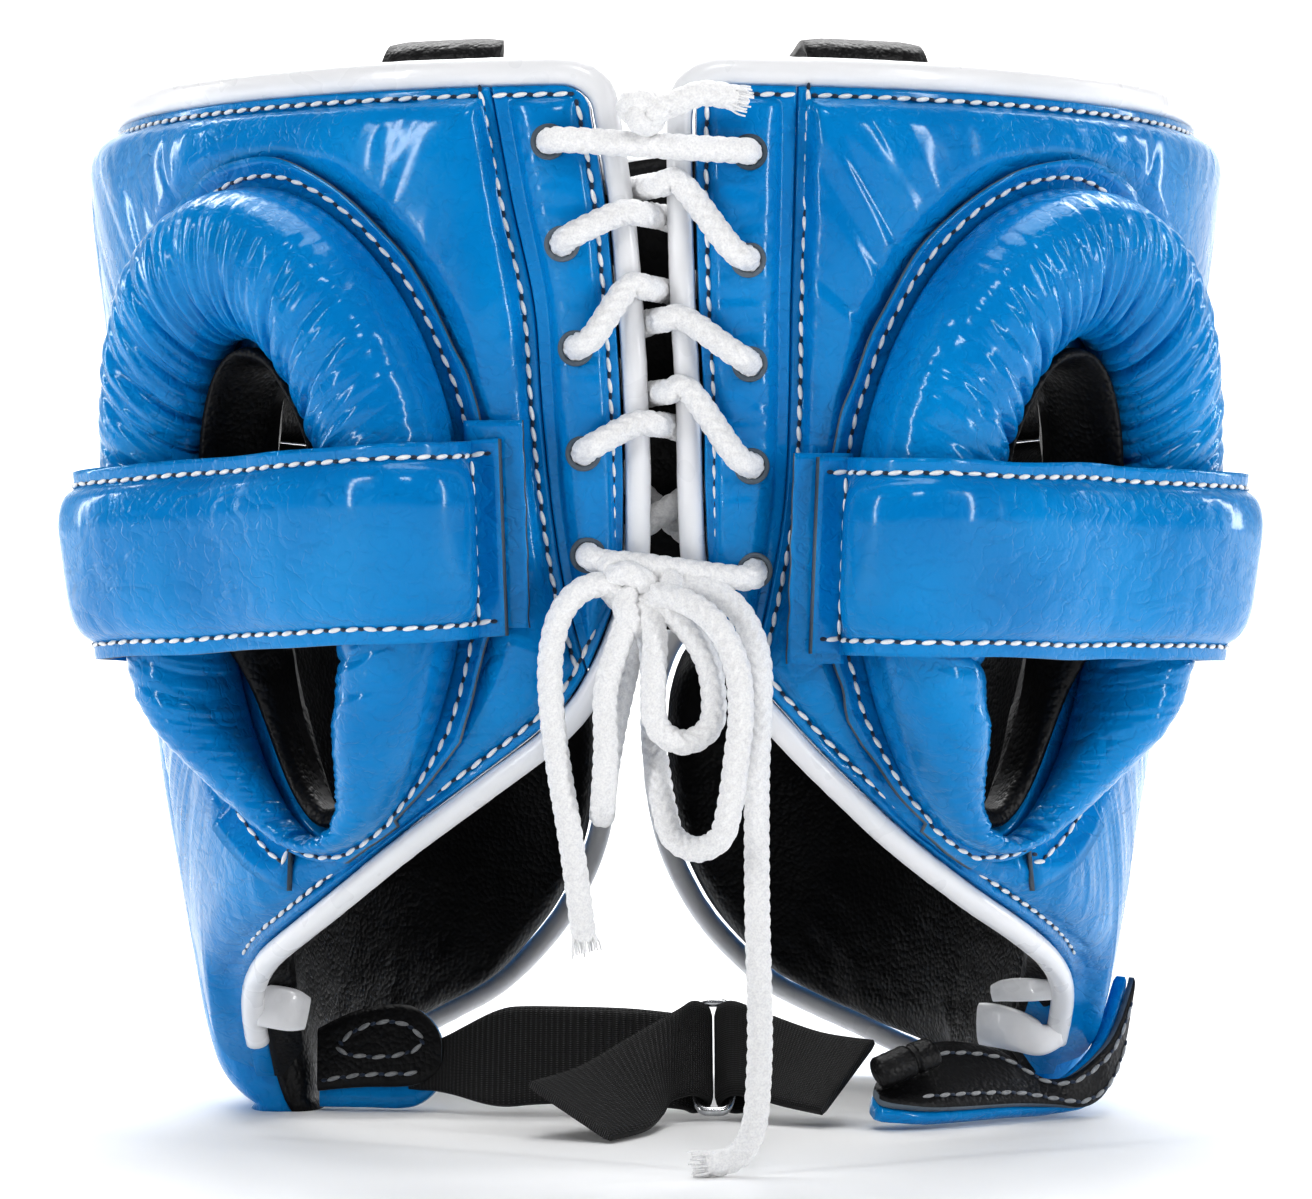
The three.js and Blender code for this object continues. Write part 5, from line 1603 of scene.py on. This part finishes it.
def make_stitches(side, lines, layout, strap):
    hem_line = offset_line(lines["edge"][6:], BINDING_OFFSET + STITCH_IN)
    hem_line = [place for place in hem_line if place.y > HEM_STITCH_END]
    rim_height = RIM_HEIGHT - STITCH_IN
    seam_top = lines["seam"][0].x
    routes = [
        hem_line,
        [flat(hem_line[0].x + 1, rim_height), flat(seam_top, rim_height)],
        [flat(seam_top + 3, rim_height), flat(temple_along, rim_height)],
        offset_line(lines["seam"], SEAM_GAP / 2 + SEAM_STITCH_IN),
    ]
    rows = [wall_stitches(side["sign"], route, STITCH_LIFT) for route in routes]
    stitch_piece("panel_stitches_" + side["name"], rows)
    stitch_piece("ear_stitches_" + side["name"], [ring_stitches(side, layout)])
    rows = []
    for share in (-STRAP_STITCH_SHARE, STRAP_STITCH_SHARE):
        route = [(column, share) for column in range(2, STRAP_ALONG - 1)]
        rows.append(layout_stitches(strap, route, lambda column, row: strap.puff(column, row) + 0.15))
    route = [(STRAP_END, mix(-STRAP_END_SHARE, STRAP_END_SHARE, step / 30)) for step in range(31)]
    rows.append(layout_stitches(strap, route, lambda column, row: strap.puff(column, row) + 0.35))
    stitch_piece("strap_stitches_" + side["name"], rows)


# Crown straps: 0 at the back wall to 1 at the front, depth inside that wall or None between the walls, and height
CROWN_ROWS = [
    (0, 13, 186), (0, 12.6, 200), (0, 8, 212), (0, 12, 218.6), (0.2, None, 220.4), (0.5, None, 221.5),
    (0.8, None, 220), (1, 12, 217.5), (1, 8, 212), (1, 12.6, 200), (1, 13, 186),
]
CROWN_MIDDLES = {"left": -46.5, "right": 45}
CROWN_ACROSS = 12


def make_crown_strap(side):
    middle = CROWN_MIDDLES[side["name"]]
    half = CROWN_STRAP_WIDTH / 2

    def on_wall(front, across, depth, z):
        along = along_at_x(middle + across * half, min(z, RIM_HEIGHT))
        if front:
            along = side["sign"] * 180 * ALONG_PER_DEGREE - along
        point = wall_point(along, min(z, RIM_HEIGHT), -depth)
        point.z = z * MM
        return point

    def spine(row, across):
        share, depth, z = row
        if depth:
            return on_wall(share, across, depth, z)
        back = on_wall(0, across, CROWN_STRAP_DEPTH, z)
        return back.lerp(on_wall(1, across, CROWN_STRAP_DEPTH, z), share)

    lines = []
    for step in range(CROWN_ACROSS + 1):
        across = 2 * step / CROWN_ACROSS - 1
        lines.append(smooth_line([spine(row, across) for row in CROWN_ROWS], 8))

    def place(column, row, raised):
        face = Vector((1, 0, 0)).cross(heading(lines[row], column)).normalized()
        edge = abs(2 * row / CROWN_ACROSS - 1)
        soft = 0.5 * smooth_rise((edge - 0.7) / 0.3)
        return lines[row][column] + face * (raised * (CROWN_STRAP_THICKNESS / 2 - soft) * MM)

    bm = slab_mesh(len(lines[0]) - 1, CROWN_ACROSS, place, 1, -1)
    node_piece(bm, "crown_strap_" + side["name"], "_leather", black_leather, "black_leather")


# Chin strap bands: middle line, lean from lying flat and swing, in degrees
BANDS = {
    "chin_webbing": [
        (-53, 4, 9.6, 66, 0), (-47, 1.6, 9.8, 64, 0), (-40, -2.4, 11, 60, 0), (-30, -4.6, 12.4, 55, 0),
        (-20, -5.8, 12.8, 52, 0), (-6, -7.2, 12.6, 51, 0), (5, -7.8, 11.6, 50, 0), (8.2, -7.2, 10.7, 50, 0),
        (11.2, -9.7, 12.75, 50, 0), (8.2, -12.2, 14.8, 50, 0), (4, -15.6, 13.6, 48, 4), (-2, -26, 10, 40, -20),
        (-9, -42, 7, 28, -40), (-17.5, -58, 6, 24, -50),
    ],
    "chin_webbing_anchor": [
        (19.5, -7.9, 11, 50, 0), (16.2, -7.2, 10.7, 50, 0), (13.3, -9.7, 12.75, 50, 0), (16.2, -12.2, 14.8, 50, 0),
        (22, -14, 13.4, 42, 8), (31, -20, 11, 34, 24), (40.2, -27.4, 10, 34, 36),
    ],
}

# The first band's start is folded narrow: share of its width there, the x it widens from, and over what run
FOLD_WIDTH = 0.45
FOLD_FROM = -50
FOLD_RUN = 20
BAND_ACROSS = 16


def make_band(name, rows):
    spine = smooth_line([Vector(row[:3]) for row in rows], 8)
    poses = smooth_line([Vector(row[3:]) for row in rows], 8)

    def place(column, row, raised):
        lean = math.radians(poses[column].x)
        swing = math.radians(poses[column].y)
        level = Vector((math.sin(swing), math.cos(swing), 0))
        across = level * math.cos(lean) + Vector((0, 0, math.sin(lean)))
        face = across.cross(heading(spine, column)).normalized()
        share = 2 * row / BAND_ACROSS - 1
        thin = 0.35 * smooth_rise((abs(share) - 0.86) / 0.14)
        folded = mix(FOLD_WIDTH, 1, smooth_rise((spine[column].x - FOLD_FROM) / FOLD_RUN))
        at = spine[column] + across * (folded * share * WEBBING_WIDTH / 2)
        return (at + face * raised * (WEBBING_THICKNESS / 2 - thin)) * MM

    bm = slab_mesh(len(spine) - 1, BAND_ACROSS, place, 1, -1)
    node_piece(bm, name, "_weave", webbing_cloth, "black_webbing")


# Wire loop between the two bands
WIRE_LOOP = {"middle": (12.2, -9.7, 12.75), "half_long": 14, "half_short": 4.2, "lean": 50}
WIRE_AROUND = 96
WIRE_SECTION = 12


def make_wire_loop():
    lean = math.radians(WIRE_LOOP["lean"])
    long_way = Vector((0, math.cos(lean), math.sin(lean)))
    short_way = Vector((1, 0, 0))
    through = long_way.cross(short_way)
    middle = Vector(WIRE_LOOP["middle"])

    def soft_root(value):
        return math.copysign(abs(value) ** 0.5, value)

    def place(column, row):
        angle = column / WIRE_AROUND * math.tau
        turn = row / WIRE_SECTION * math.tau
        out = long_way * math.cos(angle) + short_way * math.sin(angle)
        at = middle + long_way * (WIRE_LOOP["half_long"] * soft_root(math.cos(angle)))
        at = at + short_way * (WIRE_LOOP["half_short"] * soft_root(math.sin(angle)))
        return (at + out * (WIRE_RADIUS * math.cos(turn)) + through * (WIRE_RADIUS * math.sin(turn))) * MM

    node_piece(ring_mesh(WIRE_AROUND, WIRE_SECTION, place), "chin_ring", "_wire", steel, "steel_wire")


# Tabs of the chin strap: low and high edge points from the jaw to the tip
TABS = {
    "left": [
        ((-72, 7, 0.4), (-72, 9, 17)), ((-63, 5.5, 0.4), (-63, 8.5, 21)), ((-53.5, 4.5, 0.4), (-53.5, 8, 22)),
        ((-45.5, 4, 2.5), (-45.5, 7, 19)),
    ],
    "right": [
        ((96, 1, 15), (98.5, 4, 29)), ((91, -6.4, 3), (92, -4.6, 14)), ((83, -13.2, 0.4), (80.5, -11, 6)),
        ((73, -22, 0.4), (68.5, -12.5, 12)), ((59, -34, 0.4), (54, -21, 13)), ((46.5, -43.5, 0.4), (43, -30, 5)),
    ],
}

# Where each tab's inner leather starts and its rows of stitches run, as shares of the tab's width
PATCH_STARTS = {"left": 0.2, "right": 0.05}
TAB_ROWS = {"left": (0.32,), "right": (0.2, 0.8)}
TAB_ACROSS = 16
TAB_TIP = 22
TAB_STITCHES_FROM = 6
TAB_STITCHES_SHORT = 14

# Oval of stitches on the left tab: middle and reach along it in columns, then across it as shares
TAB_OVAL = (36, 22, 0.66, 0.17)
TAB_OVAL_STEPS = 48


class TabLayout:
    def __init__(self, rows):
        self.low = smooth_line([Vector(low) for low, high in rows], 24)
        self.high = smooth_line([Vector(high) for low, high in rows], 24)
        self.spans = len(self.low) - 1

    def spot(self, column, share, raised):
        face = (self.high[column] - self.low[column]).cross(heading(self.low, column)).normalized()
        if face.y > 0:
            face.negate()
        tip = round_rise((self.spans - column + 0.4) / TAB_TIP)
        middle = 0.5 + (share - 0.5) * mix(0.12, 1, tip)
        return (self.low[column].lerp(self.high[column], middle) + face * raised) * MM

    def normal(self, column, share):
        return (self.spot(column, share, 1) - self.spot(column, share, 0)).normalized()


def make_tab(name, rows):
    tab = TabLayout(rows)
    lip = FLAP_THICKNESS + FIT_GAP
    start = PATCH_STARTS[name]

    def skin(low, high, start=0.0):
        def at(column, row):
            share = row / TAB_ACROSS
            edge = round_rise(min(share, 1 - share) * 5)
            return tab.spot(column, mix(start, 1, share), mix(low, high, edge))
        return at

    flap = pad_mesh(tab.spans, TAB_ACROSS, skin(FLAP_THICKNESS - 0.6, FLAP_THICKNESS), skin(0.8, 0))
    node_piece(flap, "chin_flap_" + name, "_leather", blue_leather, "blue_leather", 0.3)
    front, back = skin(lip + 1.2, lip + PATCH_THICKNESS, start), skin(lip, lip, start)
    patch = pad_mesh(tab.spans, TAB_ACROSS, front, back, 1)
    node_piece(patch, "chin_patch_" + name, "_leather", [black_leather, raw_edge], "black_leather")
    columns = range(TAB_STITCHES_FROM, tab.spans - TAB_STITCHES_SHORT)
    routes = [[(column, share) for column in columns] for share in TAB_ROWS[name]]
    if name == "left":
        middle, reach, share, rise = TAB_OVAL
        turns = [step / TAB_OVAL_STEPS * math.tau for step in range(TAB_OVAL_STEPS + 1)]
        routes.append([(round(middle + reach * math.cos(turn)), share + rise * math.sin(turn)) for turn in turns])
    rows = [layout_stitches(tab, route, lambda column, row: lip + PATCH_THICKNESS + 0.1) for route in routes]
    stitch_piece("chin_stitches_" + name, rows, grey_thread, "black_webbing")


# Keeper on the right tab, with a groove round it
KEEPER_RADIUS = 3.7
KEEPER_ROUTE = [(45.8, -38.4, 11.6), (52, -35.6, 14), (58, -32.6, 16)]
KEEPER_STEPS = 40
KEEPER_GROOVE = 24


def make_keeper():
    path = resample(smooth_line([Vector(row) * MM for row in KEEPER_ROUTE], 12), KEEPER_STEPS)

    def radius_at(row, angle):
        groove = 1 - 0.22 * math.exp(-((row - KEEPER_GROOVE) / 1.6) ** 2)
        ends = mix(0.72, 1, round_rise(min(row, KEEPER_STEPS - row) / 4))
        crimp = 1 + 0.05 * flow(row * 0.5, math.cos(angle), 91)
        flatter = mix(1, 0.78, smooth_rise((row - KEEPER_GROOVE) / 4))
        return KEEPER_RADIUS * MM * groove * ends * crimp, 0.86 * KEEPER_RADIUS * MM * groove * ends * flatter

    node_piece(closed_tube(path, 18, radius_at), "chin_keeper", "_leather", black_leather, "black_leather")


lines = {side["name"]: half_lines(side) for side in SIDES}
for side in SIDES:
    side_lines = lines[side["name"]]
    layout = SideLayout(side, side_lines)
    make_lace_panel(side, side_lines)
    make_side_panel(side, layout)
    make_ear_guard(side, layout)
    make_ear_sleeve(side, layout)
    strap = make_ear_strap(side, layout)
    make_strap_margin(side, strap)
    make_cheek_pad(side)
    make_crown_strap(side)
    make_eyelets(side)
    make_stitches(side, side_lines, layout, strap)
make_forehead()
make_bindings(lines["left"], lines["right"])
for folded_end in FOLDED_ENDS:
    make_folded_end(folded_end)
for band_name, band_rows in BANDS.items():
    make_band(band_name, band_rows)
make_wire_loop()
for tab_name, tab_rows in TABS.items():
    make_tab(tab_name, tab_rows)
make_keeper()


# Studio: a pale floor that sweeps up behind, and soft lights
SWEEP = 1.5
FLOOR_BACK = 2.2
FLOOR_FRONT = -6
FLOOR_SPAN = 3
BACK_HEIGHT = 3.2
WORLD_STRENGTH = 0.06
SIDE_AIM = (0, -0.05, 0.3)
LAMPS = [
    {"name": "left_box", "at": (-1.1, -0.85, 0.5), "to": SIDE_AIM, "size": (0.08, 1.0), "power": 6},
    {"name": "right_box", "at": (1.15, -0.8, 0.5), "to": SIDE_AIM, "size": (0.08, 1.0), "power": 6.4},
    {"name": "left_rim", "at": (-1.4, 0.6, 0.5), "to": SIDE_AIM, "size": (0.09, 0.9), "power": 4.5},
    {"name": "right_rim", "at": (1.4, 0.6, 0.5), "to": SIDE_AIM, "size": (0.09, 0.9), "power": 4.5},
    {"name": "front_box", "at": (0.1, -1.35, 1.1), "to": (0, -0.05, 0.12), "size": (0.4, 0.16), "power": 4.2},
    {"name": "top_box", "at": (0, 0.1, 1.6), "to": (0, 0, 0.1), "size": (1.0, 1.0), "power": 10.5},
    {"name": "floor_box", "at": (0, 1.3, 1.9), "to": (0, 1.5, 0), "size": (2.4, 0.8), "power": 34},
    {"name": "back_box", "at": (0, 2.2, 2.4), "to": (0, 2.9, 0.3), "size": (4.0, 0.8), "power": 90},
]


def make_studio():
    turns = [math.radians(step) for step in range(0, 91, 6)]
    sweep = [(FLOOR_BACK + SWEEP * math.sin(turn), SWEEP * (1 - math.cos(turn))) for turn in turns]
    line = [(FLOOR_FRONT, 0), (-1, 0), (0, 0), (1, 0), *sweep, (FLOOR_BACK + SWEEP, BACK_HEIGHT)]
    bm = new_mesh()
    lay_grid(bm, 4, len(line) - 1, lambda column, row: Vector(((column - 2) * FLOOR_SPAN, *line[row])))
    pale_floor = mottled("pale_studio_floor", 0.7, 3, 2, (0.9, 0.9, 0.9), (0.93, 0.93, 0.93))
    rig.stage(mesh_object(bm, "studio_floor", [pale_floor]))
    for lamp in LAMPS:
        light = bpy.data.lights.new(lamp["name"], "AREA")
        light.shape = "RECTANGLE"
        light.size, light.size_y = lamp["size"]
        light.energy = lamp["power"]
        holder = bpy.data.objects.new(lamp["name"], light)
        holder.location = lamp["at"]
        aim = Vector(lamp["to"]) - Vector(lamp["at"])
        holder.rotation_euler = aim.to_track_quat("-Z", "Y").to_euler()
        scene.collection.objects.link(holder)
    world = bpy.data.worlds.new("pale_surround")
    world.use_nodes = True
    background = world.node_tree.nodes["Background"].inputs
    background["Color"].default_value = (1, 1, 1, 1)
    background["Strength"].default_value = WORLD_STRENGTH
    scene.world = world


make_studio()

sizes = {
    "cad": [[float(value) for value in corner] for corner in cad_box],
    "visual": [[float(value) for value in corner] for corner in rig.bounds()],
}
with open("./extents.json", "w") as size_file:
    json.dump(sizes, size_file)
